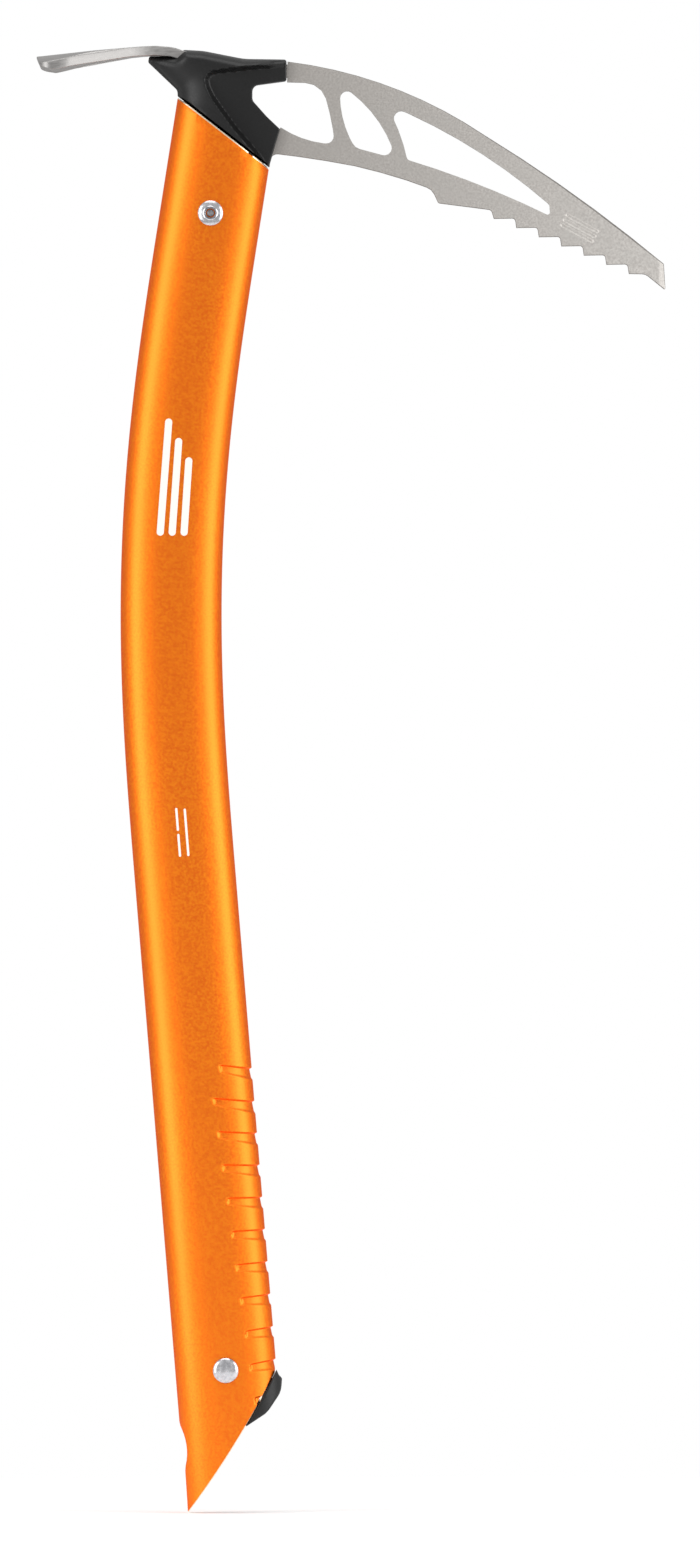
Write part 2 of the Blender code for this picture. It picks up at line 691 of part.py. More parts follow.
def crease_line():
    """Edge between the cover's round body and its scooped face, from the front of the cut upwards."""
    front = head_corner(1)
    inner = [(9.4, -5.3), (3.7, 1.3), (-0.5, 7.0), (-3.4, 11.2), (-5.0, 15.3), (-5.0, 17.4), (-3.0, 18.6),
             (3.2, 19.4), (9.4, 20.1), (22.0, 21.0)]
    return [(front[0] + 0.2, front[1])] + [(x + HEAD[0], z + HEAD[1]) for x, z in inner]


def cover_top():
    """Top edge of the cover from the upper arm's end to the seat of the adze's neck, from HEAD."""
    under_neck = CROWN_RISE - ADZE_THICKNESS - GAP
    return [(ARM_END, CROWN_RISE - 4.2), (6.4, CROWN_RISE - 4.0), (-6.3, CROWN_RISE - 1.5),
            (-12.3, CROWN_RISE - 1.2), (-14.7, under_neck), (-22.9, under_neck)]


def cover_rear():
    """Rear edge of the cover from the adze's neck down to the shaft, from HEAD."""
    foot = head_corner(-1) - HEAD
    return [(-23.2, CROWN_RISE - 5.0), (foot[0] - 0.1, foot[1] + 2.2), tuple(foot)]


def cover_outline():
    """Outline of the cover seen from the side."""
    front, rear = head_corner(1) - HEAD, head_corner(-1) - HEAD
    lift = GAP / math.cos(HEAD_CUT_SLOPE)
    corners = [Corner(*p, fillet) for p, fillet in zip(cover_top(), (0.8, 20.0, 20.0, 1.5, 0.0, 0.8))]
    corners += [Corner(*p, fillet) for p, fillet in zip(cover_rear()[:2], (0.8, 2.0))]
    corners += [Corner(rear[0], rear[1] + lift), Corner(front[0], front[1] + lift, 0.0, (15.9, -4.2)),
                Corner(17.5, 1.1, 0.6), Corner(13.4, 5.0, 9.0), Corner(8.95, 10.0, 2.5),
                Corner(8.98, 14.57, 2.2), Corner(ARM_END, 16.0, 0.8)]
    return from_head(corners)


def rounding(distance, radius):
    """Height of a quarter round, 0 at the edge and 1 past the radius."""
    t = min(1.0, distance / radius)
    return math.sqrt(1.0 - (1.0 - t) ** 2)


def cover_half_thickness(x, z):
    """Distance of the cover's outer face from the middle plane."""
    lx, lz = x - HEAD[0], z - HEAD[1]
    half = SHAFT_WIDTH / 2
    d_top = distance_to(cover_top(), lx, lz)[0]
    d_rear = distance_to(cover_rear(), lx, lz)[0]
    d_front = max(0.0, half - lx * math.cos(LEAN_HEAD) + lz * math.sin(LEAN_HEAD))
    round_body = SHAFT_THICKNESS / 2 * rounding(d_rear, half) * rounding(d_front, half)
    round_body *= rounding(d_top, TOP_ROUNDING)
    bead = BEAD_HALF_THICKNESS + BEAD_SWELL * max(0.0, min(1.0, (ARM_END - lx) / 24.0))
    body = max(round_body, bead * rounding(d_top, 2.0) if lx > -5 and lz > 14 else 0.0)
    reach = min(1.0, math.hypot(lx + 5.0, lz - 17.5) / 20.0)
    scoop = ARM_HALF_THICKNESS + SCOOP_DEPTH_LEFT * (1 - reach) ** 2
    gap, side = distance_to(crease_line(), x, z)
    t = min(1.0, max(0.0, 0.5 + side * gap / CREASE_WIDTH))
    floor = HALF_PLATE + GAP + COVER_EDGE if lx > 4.0 else COVER_EDGE
    return max(floor, body + (scoop - body) * t)


def spigot():
    """The half of the cover that fills the mouth of the shaft beside the tang."""
    inset = SHAFT_WALL + GAP
    share = (HALF_PLATE + 2 * GAP) / (SHAFT_THICKNESS / 2 - inset)
    first = math.asin(share ** (OVAL_POWER / 2))
    rings = []
    for z in (float(along_head(-SPIGOT_LENGTH)[1]), HEAD[1] + 14.0):
        ring = [oval(z, -t, -inset) for t in np.linspace(first, math.pi - first, 15)]
        rings.append(ring + [(ring[-1][0], -HALF_PLATE, z), (ring[0][0], -HALF_PLATE, z)])
    made = swept("cover_spigot", rings)
    front, rear = head_corner(1), head_corner(-1)
    lift = np.array([0.0, 6.0])
    cut(made, above("spigot_trim", 2 * rear - front + lift, front + lift))
    return made


def make_cover(name, finish):
    """Right half of the cover, with its spigot and its pockets for the plate, the adze and the rivets."""
    grid = [(x + HEAD[0], z + HEAD[1])
            for x in np.arange(-20.0, 18.0, 3.6) for z in np.arange(-8.0, 23.0, 3.6)]
    edge = outline(cover_outline())
    cover = slab(name, [edge], lambda x, z: -cover_half_thickness(x, z), level(-GAP / 2), finish,
                 extra=grown(edge, -1.2) + grid)
    cut(cover, spigot(), "UNION")
    cut(cover, ear("cover_ear_pocket", -1, GAP))
    cut(cover, slab("cover_neck_pocket", [outline(adze_plan(GAP))],
                    lambda x, y: adze_top(x, y) - ADZE_THICKNESS - 1.5 * GAP,
                    lambda x, y: adze_top(x, y) + GAP, None, flat_on, adze_grid()))
    reach = HALF_PLATE + GAP
    cut(cover, slab("cover_plate_pocket", [grown(outline(pick_pocket()), GAP)], level(-reach), level(reach)))
    reach = EAR_OUTSIDE + 2 * GAP + ADZE_RIVET_HEAD_HEIGHT
    for rivet, (x, z) in ADZE_RIVETS.items():
        centre = (HEAD[0] + x, HEAD[1] + z)
        cut(cover, bore(f"cover_{rivet}", centre, ADZE_RIVET_HEAD_DIAMETER + 2 * GAP, reach))
    cut(cover, bore("cover_bore", head_rivet_centre(), RIVET_SHANK_DIAMETER + 2 * GAP))
    return cover


def mirrored(name, thing):
    """Copy of a finished piece, mirrored to the other side of Y = 0."""
    graph = bpy.context.evaluated_depsgraph_get()
    mesh = bpy.data.meshes.new_from_object(thing.evaluated_get(graph))
    for vertex in mesh.vertices:
        vertex.co.y = -vertex.co.y
    mesh.flip_normals()
    copy = bpy.data.objects.new(name, mesh)
    copy.location = thing.location
    bpy.context.scene.collection.objects.link(copy)
    return copy


# ---------------------------------------------------------------- foot plug

def lip_half_thickness(x, z):
    """The plug's lip carries on the shaft's oval, a little fuller at the front."""
    across = max(0.0, float(x - axis_x(z))) / (SHAFT_WIDTH / 2 + PLUG_LIP_STANDOUT)
    return max(0.8, SHAFT_THICKNESS / 2 * max(0.0, 1 - across ** OVAL_POWER) ** (1 / OVAL_POWER))


def lip_outline():
    """Side view of the lip: it fills the front of the foot cut and bulges below it."""
    fx, fz = foot_cut(0.0)
    out = PLUG_LIP_STANDOUT
    against = [Corner(*foot_cut(t, GAP)) for t in (PLUG_LIP_END, 0.28, 0.18, 0.09, 0.0)]
    bulge = [Corner(fx + out - 1.0, fz - 1.9, 0.5), Corner(fx + out, fz - 2.9, 0.8),
             Corner(fx + out - 0.3, fz - 7.0, 8.0), Corner(fx - 3.2, fz - 14.2, 6.0),
             Corner(fx - 5.5, fz - 14.9, 3.0)]
    return outline(against + bulge)


def make_plug(finish):
    """Moulded plug: a stem inside the shaft and a lip under the foot cut."""
    inset = -SHAFT_WALL - GAP
    top = FOOT_RIVET_HEIGHT + PLUG_STEM_ABOVE_RIVET
    plug = swept("foot_plug", shaft_rings([PLUG_FLOOR_HEIGHT, top], 36, inset), finish)
    cut(plug, below_foot_cut("plug_trim", PLUG_FLOOR_LIFT))
    fx, fz = foot_cut(0.0)
    points = [(float(fx - x), float(fz - z))
              for x in np.arange(-0.5, 8.5, 1.9) for z in np.arange(3.0, 17.0, 2.6)]
    lip = slab("plug_lip", [lip_outline()], lambda x, z: -lip_half_thickness(x, z), lip_half_thickness,
               extra=points)
    cut(plug, lip, "UNION")
    cut(plug, bore("plug_bore", foot_rivet_centre(), RIVET_SHANK_DIAMETER + 2 * GAP))


# ---------------------------------------------------------------- rivets

def dome(radius, height, base, side, inner=0.0):
    """Profile of a domed head from its rim to its crown, or to a bore of radius inner."""
    last = math.acos(inner / radius)
    angles = [last * k / 4 for k in range(4)]
    rim = [(radius * math.cos(t), side * (base + height * math.sin(t))) for t in angles]
    return rim + [(inner, side * (base + height * math.sin(last)))]


def make_foot_rivet(finish):
    """Solid rivet with a domed head on both sides of the shaft."""
    seat, shank = SHAFT_THICKNESS / 2 + GAP, RIVET_SHANK_DIAMETER / 2
    near, far = (dome(RIVET_HEAD_DIAMETER / 2, RIVET_HEAD_HEIGHT, seat, side) for side in (-1, 1))
    turned("foot_rivet", near[::-1] + [(shank, -seat), (shank, seat)] + far, foot_rivet_centre(), finish)


def make_head_rivet(finish, core):
    """Blind rivet: a sleeve with a domed head, and the pin that set it."""
    seat, shank, hole = SHAFT_THICKNESS / 2 + GAP, RIVET_SHANK_DIAMETER / 2, MANDREL_DIAMETER / 2 + GAP
    near = dome(RIVET_HEAD_DIAMETER / 2, RIVET_HEAD_HEIGHT, seat, -1, hole)
    far = dome(RIVET_HEAD_DIAMETER / 2 - 0.4, RIVET_HEAD_HEIGHT - 0.3, seat, 1, hole)
    turned("head_rivet_body", near[::-1] + [(shank, -seat), (shank, seat)] + far, head_rivet_centre(), finish)
    pin, end = MANDREL_DIAMETER / 2, seat + RIVET_HEAD_HEIGHT
    knob = dome(pin + 0.8, 1.0, end + GAP, 1)
    profile = [(0, -end + 0.8), (pin - 0.2, -end + 0.8), (pin, -end + 1.0), (pin, end + GAP)] + knob
    turned("head_rivet_mandrel", profile, head_rivet_centre(), core, 16)


def make_adze_rivets(finish):
    """The two rivets that hold the adze's ears to the plate, hidden in the cover."""
    seat, shank, radius = EAR_OUTSIDE + GAP, ADZE_RIVET_DIAMETER / 2, ADZE_RIVET_HEAD_DIAMETER / 2
    near, far = (dome(radius, ADZE_RIVET_HEAD_HEIGHT, seat, side) for side in (-1, 1))
    for name, (x, z) in ADZE_RIVETS.items():
        centre = (HEAD[0] + x, HEAD[1] + z)
        turned(name, near[::-1] + [(shank, -seat), (shank, seat)] + far, centre, finish, 16)


# ---------------------------------------------------------------- main

def clear():
    """Empty the scene."""
    for thing in list(bpy.data.objects):
        bpy.data.objects.remove(thing, do_unlink=True)


def main():
    clear()
    orange = material("anodised_aluminium", (0.85, 0.25, 0.01), 0.35, 0.7)
    steel = material("laser_cut_steel", (0.45, 0.43, 0.41), 0.45, 1.0)
    stainless = material("stainless_sheet", (0.6, 0.59, 0.57), 0.35, 1.0)
    nylon = material("black_nylon", (0.02, 0.02, 0.02), 0.45, 0.0)
    make_shaft(orange)
    make_pick(steel)
    make_adze(stainless)
    mirrored("head_cover_left", make_cover("head_cover_right", nylon))
    make_plug(nylon)
    make_foot_rivet(stainless)
    make_head_rivet(stainless, steel)
    make_adze_rivets(stainless)


main()
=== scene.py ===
"""Looks of a compact ice axe: anodised tube, blasted steel pick, stainless adze and moulded nylon cover.

Shapes are worked out in millimetres and become metres when a mesh is made. Outlines of the head are
measured from HEAD, the middle of the slanted cut at the top of the shaft.
"""
import math

import bmesh
import bpy
import numpy as np
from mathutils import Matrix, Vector
from mathutils.geometry import delaunay_2d_cdt


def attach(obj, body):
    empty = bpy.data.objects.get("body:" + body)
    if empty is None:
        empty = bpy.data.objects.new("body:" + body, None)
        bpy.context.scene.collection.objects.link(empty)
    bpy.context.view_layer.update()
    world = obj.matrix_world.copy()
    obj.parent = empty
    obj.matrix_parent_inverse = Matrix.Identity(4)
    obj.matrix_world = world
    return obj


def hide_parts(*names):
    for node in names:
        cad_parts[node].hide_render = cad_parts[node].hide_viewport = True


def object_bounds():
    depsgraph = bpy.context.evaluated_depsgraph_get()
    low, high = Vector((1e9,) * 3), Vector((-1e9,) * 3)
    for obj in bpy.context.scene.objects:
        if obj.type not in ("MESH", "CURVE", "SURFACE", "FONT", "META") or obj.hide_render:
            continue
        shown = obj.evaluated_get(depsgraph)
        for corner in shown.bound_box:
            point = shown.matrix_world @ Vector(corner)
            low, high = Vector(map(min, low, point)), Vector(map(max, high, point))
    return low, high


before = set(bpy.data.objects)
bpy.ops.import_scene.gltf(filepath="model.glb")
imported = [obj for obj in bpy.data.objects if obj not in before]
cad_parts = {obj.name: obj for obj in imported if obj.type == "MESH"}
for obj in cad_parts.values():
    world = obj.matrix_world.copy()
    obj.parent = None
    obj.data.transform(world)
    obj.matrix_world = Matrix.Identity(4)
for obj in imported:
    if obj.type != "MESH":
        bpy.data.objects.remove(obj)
cad_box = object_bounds()

MM = 0.001
LOW, HIGH = np.array(cad_box[0]) / MM, np.array(cad_box[1]) / MM

# Head, measured from HEAD
PICK_REACH = 136.4
CROWN_RISE = 26.8
HEAD = np.array([HIGH[0] - PICK_REACH, HIGH[2] - CROWN_RISE])
ADZE_REACH = HEAD[0] - LOW[0]
HEAD_CUT_SLOPE = math.radians(37.9)

# Shaft
SHAFT_WIDTH = 31.2
SHAFT_THICKNESS = 19.0
SHAFT_WALL = 1.3
OVAL_POWER = 2.3
LEAN_FOOT = math.radians(-4.71)
LEAN_HEAD = math.radians(8.93)
BEND_START = HEAD[1] - 225.7
BEND_END = HEAD[1] - 30.9
FOOT_CUT_HEIGHT = 44.4
FOOT_CUT_BULGE = 1.2
TIP_RELIEF = 0.35
NOTCH_TOP, NOTCH_MIDDLE, NOTCH_FOOT = 27.4, 20.5, 13.9
NOTCH_DEPTH = 1.65
NOTCH_FOOT_DEPTH = 0.6
EDGE_BREAK = 0.2
EDGE_BREAK_RISE = 0.42
REAR_WEB = 0.35
COLUMNS = 200
# Heights beyond both cuts, between which the rows of the skins are spread before they are cut off
ROWS_TOP = HEAD[1] + 14.0
ROWS_FOOT = -3.0
# Largest gap between an arc and its chords
CHORD_ERROR = 0.03

# Pressed grooves of the grip: each has a steep upper edge and a shallow lower one
GROOVE_COUNT = 11
GROOVE_TOP = 138.5
GROOVE_PITCH = 10.27
GROOVE_DEPTH = 0.8
GROOVE_STARTS = np.array([5.6] + [2.7 + 0.58 * k for k in range(GROOVE_COUNT - 1)])
GROOVE_SLOPES = np.tan(np.radians(-6.5 + 1.9 * np.arange(GROOVE_COUNT)))
GROOVE_INNER_WIDTH = 2.3
GROOVE_WIDENING = 0.13
GROOVE_UPPER_STEP = 0.6
GROOVE_LOWER_STEP = 0.25
GROOVE_SHALLOWING = 0.55
GROOVE_END_ROUNDING = 1.2

# Plate, adze and cover
HALF_PLATE = 1.75
HALF_TIP = 1.3
TAPER_LENGTH = 35.0
FACET_LENGTH = 2.1
FACET_DEPTH = 0.55
PLATE_EDGE = 0.16
PLATE_BACK_CHAMFER = 0.34
# Outlines in the plate's side that are shorter than this are bores, which the rivets fill
SMALLEST_WINDOW = 9.0
ADZE_THICKNESS = 2.9
ADZE_WIDTH = 46.0
ADZE_NECK_WIDTH = 12.0
ADZE_ARCH = 2.7
ADZE_FLARE_START = 20.0
ADZE_BEVEL = 5.5
ADZE_EDGE_THICKNESS = 0.8
ADZE_EDGE_BREAK = 0.3
ARM_END = 19.5
ARM_HALF_THICKNESS = 4.4
SCOOP_RISE = 2.4
BEAD_HALF_THICKNESS = 5.4
BEAD_SWELL = 2.0
CREASE_WIDTH = 1.6
COVER_SKIRT = 7.0
COVER_EDGE = 0.5
GAP = 0.3

# Foot plug
PLUG_LOWEST = 29.0
PLUG_ABOVE_RIVET = 12.0
PLUG_BEYOND_CUT = 1.1
PLUG_LIP_EDGE = 0.6
PLUG_COLUMNS = 96

# Rivets
RIVET_SEAT = SHAFT_THICKNESS / 2 + GAP
RIVET_RADIUS = 4.0
RIVET_DOME = 1.6
RIVET_SHANK = 2.4
RIVET_RIM = 0.25
HEAD_RIVET_BELOW_HEAD = 25.2
FOOT_RIVET_HEIGHT = 44.1


# ---------------------------------------------------------------- shaft axis

def lean(z):
    """Angle of the shaft's axis from upright: a smooth step between two straight runs."""
    t = np.clip((z - BEND_START) / (BEND_END - BEND_START), 0.0, 1.0)
    return LEAN_FOOT + (LEAN_HEAD - LEAN_FOOT) * t * t * (3.0 - 2.0 * t)


AXIS_HEIGHTS = np.arange(-10.0, HEAD[1] + 40.0, 0.5)
AXIS_RUN = np.concatenate([[0.0], np.cumsum(0.5 * np.tan(lean(AXIS_HEIGHTS[:-1] + 0.25)))])


def axis_x(z):
    """X of the shaft's axis: the sum of its lean, set so that it passes through HEAD."""
    return HEAD[0] + np.interp(z, AXIS_HEIGHTS, AXIS_RUN) - np.interp(HEAD[1], AXIS_HEIGHTS, AXIS_RUN)


def edge_x(z, side):
    """X of the shaft's front (side 1) or rear (side -1) edge."""
    return axis_x(z) + side * SHAFT_WIDTH / 2 / np.cos(lean(z))


def smooth(t):
    """Smooth step from 0 to 1."""
    t = np.clip(t, 0.0, 1.0)
    return t * t * (3.0 - 2.0 * t)


def rear_relief(z):
    """How far the spike's back is cut in: hollow between the notch's ends, then straight to the tip."""
    hollow = np.polyfit([NOTCH_TOP, NOTCH_MIDDLE, NOTCH_FOOT], [0.0, NOTCH_DEPTH, NOTCH_FOOT_DEPTH], 2)
    below = np.interp(z, [0.0, NOTCH_FOOT], [TIP_RELIEF, NOTCH_FOOT_DEPTH])
    return np.where(z > NOTCH_TOP, -1.0, np.where(z > NOTCH_FOOT, np.polyval(hollow, z), below))


def tube_point(z, angle, grow, web=0.0):
    """Point of the shaft's oval section: a superellipse moved out by grow, cut back at the rear by the
    spike's relief, and by web more."""
    c, s = np.cos(angle), np.sin(angle)
    x = np.sign(c) * np.abs(c) ** (2 / OVAL_POWER) * (SHAFT_WIDTH / 2 + grow) / np.cos(lean(z)) + axis_x(z)
    y = np.sign(s) * np.abs(s) ** (2 / OVAL_POWER) * (SHAFT_THICKNESS / 2 + grow) + 0.0 * z
    return np.maximum(x, edge_x(z, -1) + rear_relief(z) + web), y


def foot_cut(x, beyond=0.0):
    """Height of the slanted foot cut at x: the chord from front edge to spike's tip with a shallow bulge."""
    front = np.array([edge_x(FOOT_CUT_HEIGHT, 1), FOOT_CUT_HEIGHT])
    tip = np.array([edge_x(0.0, -1) + TIP_RELIEF, 0.0])
    run = tip - front
    out = np.array([-run[1], run[0]]) / np.hypot(*run)
    t = np.linspace(-0.3, 1.1, 60)[:, None]
    line = front + run * t + out * (4 * FOOT_CUT_BULGE * t * (1 - t) + beyond)
    return np.interp(x, line[::-1, 0], line[::-1, 1])


def head_cut(x):
    """Height of the slanted head cut at x."""
    return HEAD[1] - math.tan(HEAD_CUT_SLOPE) * (x - HEAD[0])


def meets(cut, angle, grow, web, start):
    """Height where each column of the oval meets a cut, by repeated substitution."""
    z = np.full(angle.shape, start)
    for _ in range(30):
        z = cut(tube_point(z, angle, grow, web)[0])
    return z


# ---------------------------------------------------------------- outlines

def arc(a, via, b):
    """Points on the arc from a through via to b, without a."""
    a, via, b = (complex(*p) for p in (a, via, b))
    w = (b - a) / (via - a)
    centre = a + (via - a) * (w - abs(w) ** 2) / (w - w.conjugate())
    radius = abs(a - centre)
    to_via = np.angle((via - centre) / (a - centre)) % math.tau
    turn = np.angle((b - centre) / (a - centre)) % math.tau
    if to_via > turn:
        turn -= math.tau
    count = max(3, math.ceil(abs(turn) / (2 * math.acos(1 - min(CHORD_ERROR / radius, 0.5)))))
    points = centre + (a - centre) * np.exp(1j * turn * np.arange(1, count + 1) / count)
    return np.column_stack([points.real, points.imag])


def trimmed(side, length):
    """A polyline without its first length."""
    steps = np.hypot(*np.diff(side, axis=0).T)
    run = np.concatenate([[0.0], np.cumsum(steps)])
    length = min(length, 0.96 * run[-1])
    first = [np.interp(length, run, side[:, 0]), np.interp(length, run, side[:, 1])]
    return np.vstack([first, side[run > length]])


def outline(corners):
    """Closed outline from corners (x, z, fillet, via): via bends the side after a corner into an arc."""
    corners = [tuple(c) + (0.0, None)[len(c) - 2:] for c in corners]
    sides = []
    for (x, z, _, via), after in zip(corners, corners[1:] + corners[:1]):
        rest = [after[:2]] if via is None else arc((x, z), via, after[:2])
        sides.append(np.vstack([[(x, z)], rest]).astype(float))
    rounds = []
    for k, (x, z, fillet, _) in enumerate(corners):
        before, after = sides[k - 1][::-1], sides[k]
        d0, d1 = before[0] - before[1], after[1] - after[0]
        turn = math.acos(np.clip(d0 @ d1 / np.hypot(*d0) / np.hypot(*d1), -1.0, 1.0))
        room = 0.48 * min(np.hypot(*np.diff(s, axis=0).T).sum() for s in (before, after))
        cut = min(fillet * math.tan(turn / 2), room)
        if cut <= 0.0:
            rounds.append(np.empty((0, 2)))
            continue
        before, after = trimmed(before, cut), trimmed(after, cut)
        sides[k - 1], sides[k] = before[::-1], after
        t = np.linspace(0.0, 1.0, max(3, math.ceil(turn / 0.2)) + 1)[1:-1, None]
        w0, w1, w2 = (1 - t) ** 2, 2 * math.cos(turn / 2) * t * (1 - t), t * t
        rounds.append((w0 * before[0] + w1 * np.array([x, z]) + w2 * after[0]) / (w0 + w1 + w2))
    points = np.vstack([np.vstack([r, s]) for r, s in zip(rounds, sides)])
    return points[np.hypot(*(points - np.roll(points, -1, axis=0)).T) > 0.01]


def inward(loop):
    """Inward normal at each point of a closed outline, long enough to move both its sides by 1."""
    ahead = np.roll(loop, -1, axis=0) - loop
    ahead /= np.hypot(*ahead.T)[:, None]
    behind = np.roll(ahead, 1, axis=0)
    area = np.sum(loop[:, 0] * np.roll(loop[:, 1], -1) - np.roll(loop[:, 0], -1) * loop[:, 1])
    normal = np.column_stack([-(ahead + behind)[:, 1], (ahead + behind)[:, 0]])
    return math.copysign(1.0, area) * normal / (1 + np.sum(ahead * behind, axis=1))[:, None].clip(0.5)


def is_inside(points, loop):
    """Which points lie inside a closed outline, by the even-odd rule."""
    (ax, az), (bx, bz) = loop.T[:, None], np.roll(loop, -1, axis=0).T[:, None]
    x, z = points[:, :1], points[:, 1:]
    with np.errstate(divide="ignore", invalid="ignore"):
        crossing = ((az > z) != (bz > z)) & (x < ax + (z - az) * (bx - ax) / (bz - az))
    return crossing.sum(axis=1) % 2 == 1


def distance_to(line, points):
    """Distance of points from an open line, and their side of it (1 is to the right of its direction)."""
    best, side = np.full(len(points), 1e9), np.ones(len(points))
    for a, b in zip(line, line[1:]):
        run, off = b - a, points - a
        t = np.clip(off @ run / (run @ run), 0.0, 1.0)
        gap = np.hypot(*(off - t[:, None] * run).T)
        nearer = gap < best
        best = np.where(nearer, gap, best)
        side = np.where(nearer, np.where(off[:, 0] * run[1] > off[:, 1] * run[0], 1.0, -1.0), side)
    return best, side


# ---------------------------------------------------------------- meshes

def grid_faces(rows, columns, first=0):
    """Triangles over a grid whose columns close round."""
    index = first + np.arange(rows * columns).reshape(rows, columns)
    a, b = index[:-1], np.roll(index, -1, axis=1)[:-1]
    c, d = np.roll(index, -1, axis=1)[1:], index[1:]
    return np.vstack([np.stack([a, b, c], -1).reshape(-1, 3), np.stack([a, c, d], -1).reshape(-1, 3)])


def piece(name, points, faces, finishes, slot, *nodes, sharp=35.0, finish_index=None):
    """Object from millimetre points: welded, faces out, smooth up to the sharp angle, riding in the frame."""
    mesh = bpy.data.meshes.new(name)
    mesh.from_pydata(points * MM, [], faces)
    for finish in finishes:
        mesh.materials.append(finish)
    if finish_index is not None:
        mesh.polygons.foreach_set("material_index", finish_index)
    bm = bmesh.new()
    bm.from_mesh(mesh)
    bmesh.ops.remove_doubles(bm, verts=bm.verts, dist=0.004 * MM)
    bmesh.ops.delete(bm, geom=[v for v in bm.verts if not v.link_faces], context="VERTS")
    bmesh.ops.recalc_face_normals(bm, faces=bm.faces)
    bm.to_mesh(mesh)
    bm.free()
    mesh.shade_smooth()
    mesh.set_sharp_from_angle(angle=math.radians(sharp))
    made = bpy.data.objects.new(name, mesh)
    bpy.context.scene.collection.objects.link(made)
    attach(made, "root")
    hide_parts(*nodes)
    return made


def cap(loops, extra):
    """Flat triangulation inside the first outline and outside the others, through extra points as well."""
    flat = np.vstack([*loops, extra])
    edges, first = [], 0
    for loop in loops:
        ring = first + np.arange(len(loop))
        edges += np.column_stack([ring, np.roll(ring, -1)]).tolist()
        first += len(loop)
    verts, _, faces, origins, *_ = delaunay_2d_cdt([Vector(p) for p in flat], edges, [], 0, 1e-5)
    spots = np.array([flat[o[0]] if o else tuple(v) for v, o in zip(verts, origins)], float)
    faces = np.array(faces)
    middle = spots[faces].mean(axis=1)
    kept = is_inside(middle, loops[0])
    for hole in loops[1:]:
        kept &= ~is_inside(middle, hole)
    return spots, faces[kept]


def pressed(loops, low, high, rim, extra, steps=4):
    """Solid over outlines between two height functions, with quarter-round edges of radius rim.

    Each edge is a grid: along the outline, and over the quarter round, which moves in by rim (1 - cos a)
    and ends rim (1 - sin a) short of the face. The faces are the outline's triangulation lifted to them.
    Also tells for each triangle whether it belongs to a face (0) or an edge (1).
    """
    points, faces, inner = [], [], []
    angles = np.radians(np.linspace(0.0, 90.0, steps + 1))
    total = 0
    for loop in loops:
        radius = rim(loop) if callable(rim) else np.full(len(loop), rim)
        normal = inward(loop)
        rows = []
        for face, sign, order in ((low, -1.0, angles[::-1]), (high, 1.0, angles)):
            for a in order:
                flat = loop + normal * (radius * (1 - math.cos(a)))[:, None]
                rows.append(np.column_stack([flat, face(flat) - sign * radius * (1 - math.sin(a))]))
        points += rows
        faces.append(grid_faces(len(rows), len(loop), total))
        total += len(rows) * len(loop)
        inner.append(loop + normal * radius[:, None])
    keep = is_inside(extra, inner[0])
    for hole in inner[1:]:
        keep &= ~is_inside(extra, hole)
    flat, triangles = cap(inner, extra[keep])
    for face in (low, high):
        points.append(np.column_stack([flat, face(flat)]))
        faces.append(triangles + total)
        total += len(flat)
    on_edge = np.repeat([1, 0], [len(np.vstack(faces[:-2])), 2 * len(triangles)])
    return np.vstack(points), np.vstack(faces), on_edge


def lattice(low, high, step):
    """Points of a regular grid over a box."""
    x, z = np.meshgrid(*(np.arange(a, b, step) for a, b in zip(low, high)))
    return np.column_stack([x.ravel(), z.ravel()])


def turned(profile, centre, columns=64):
    """Solid turned about a line along Y through centre: rows are the profile's (radius, y)."""
    radius, y = np.array(profile).T[:, :, None]
    angle = np.linspace(0.0, math.tau, columns, endpoint=False)
    x, z = centre[0] + radius * np.cos(angle), centre[1] + radius * np.sin(angle)
    return np.stack([x, y + 0.0 * angle, z], -1).reshape(-1, 3), grid_faces(len(profile), columns)


# ---------------------------------------------------------------- finishes

def srgb(code):
    """Linear colour from an sRGB hex value."""
    values = np.array([int(code[k:k + 2], 16) for k in (1, 3, 5)]) / 255
    return (*np.where(values <= 0.04045, values / 12.92, ((values + 0.055) / 1.055) ** 2.4), 1.0)


def add(tree, kind, inputs=(), **settings):
    """New node with its settings, and with its inputs set or linked."""
    node = tree.nodes.new("ShaderNode" + kind)
    for name, value in settings.items():
        setattr(node, name, value)
    for name, value in dict(inputs).items():
        if isinstance(value, bpy.types.NodeSocket):
            tree.links.new(value, node.inputs[name])
        else:
            node.inputs[name].default_value = value
    return node


def new_finish(name, metallic, roughness):
    """Material with its tree, its shader and the object's own coordinates."""
    made = bpy.data.materials.new(name)
    made.use_nodes = True
    tree = made.node_tree
    shader = tree.nodes["Principled BSDF"]
    shader.inputs["Metallic"].default_value = metallic
    shader.inputs["Roughness"].default_value = roughness
    return made, tree, shader, add(tree, "TexCoord").outputs["Object"]


def grain(tree, where, size, stretch=(1.0, 1.0, 1.0), detail=2.0):
    """Noise with features of that size in millimetres, drawn out along an axis by a smaller stretch."""
    mapped = add(tree, "Mapping", {"Vector": where, "Scale": stretch}).outputs["Vector"]
    noise = add(tree, "TexNoise", {"Vector": mapped, "Scale": 1 / (size * MM), "Detail": detail})
    return noise.outputs["Fac"]


def between(tree, share, low, high, from_low=0.35, from_high=0.65):
    """Value that goes from low to high with a noise's share."""
    return add(tree, "MapRange", {"Value": share, "From Min": from_low, "From Max": from_high,
                                  "To Min": low, "To Max": high}).outputs["Result"]


def blend(tree, share, a, b):
    """Colour mixed from a to b."""
    return add(tree, "Mix", {0: share, 6: a, 7: b}, data_type="RGBA").outputs[2]


def roughen(tree, shader, height, depth, strength):
    """Bump of that depth in millimetres."""
    bump = add(tree, "Bump", {"Height": height, "Distance": depth * MM, "Strength": strength})
    tree.links.new(bump.outputs["Normal"], shader.inputs["Normal"])


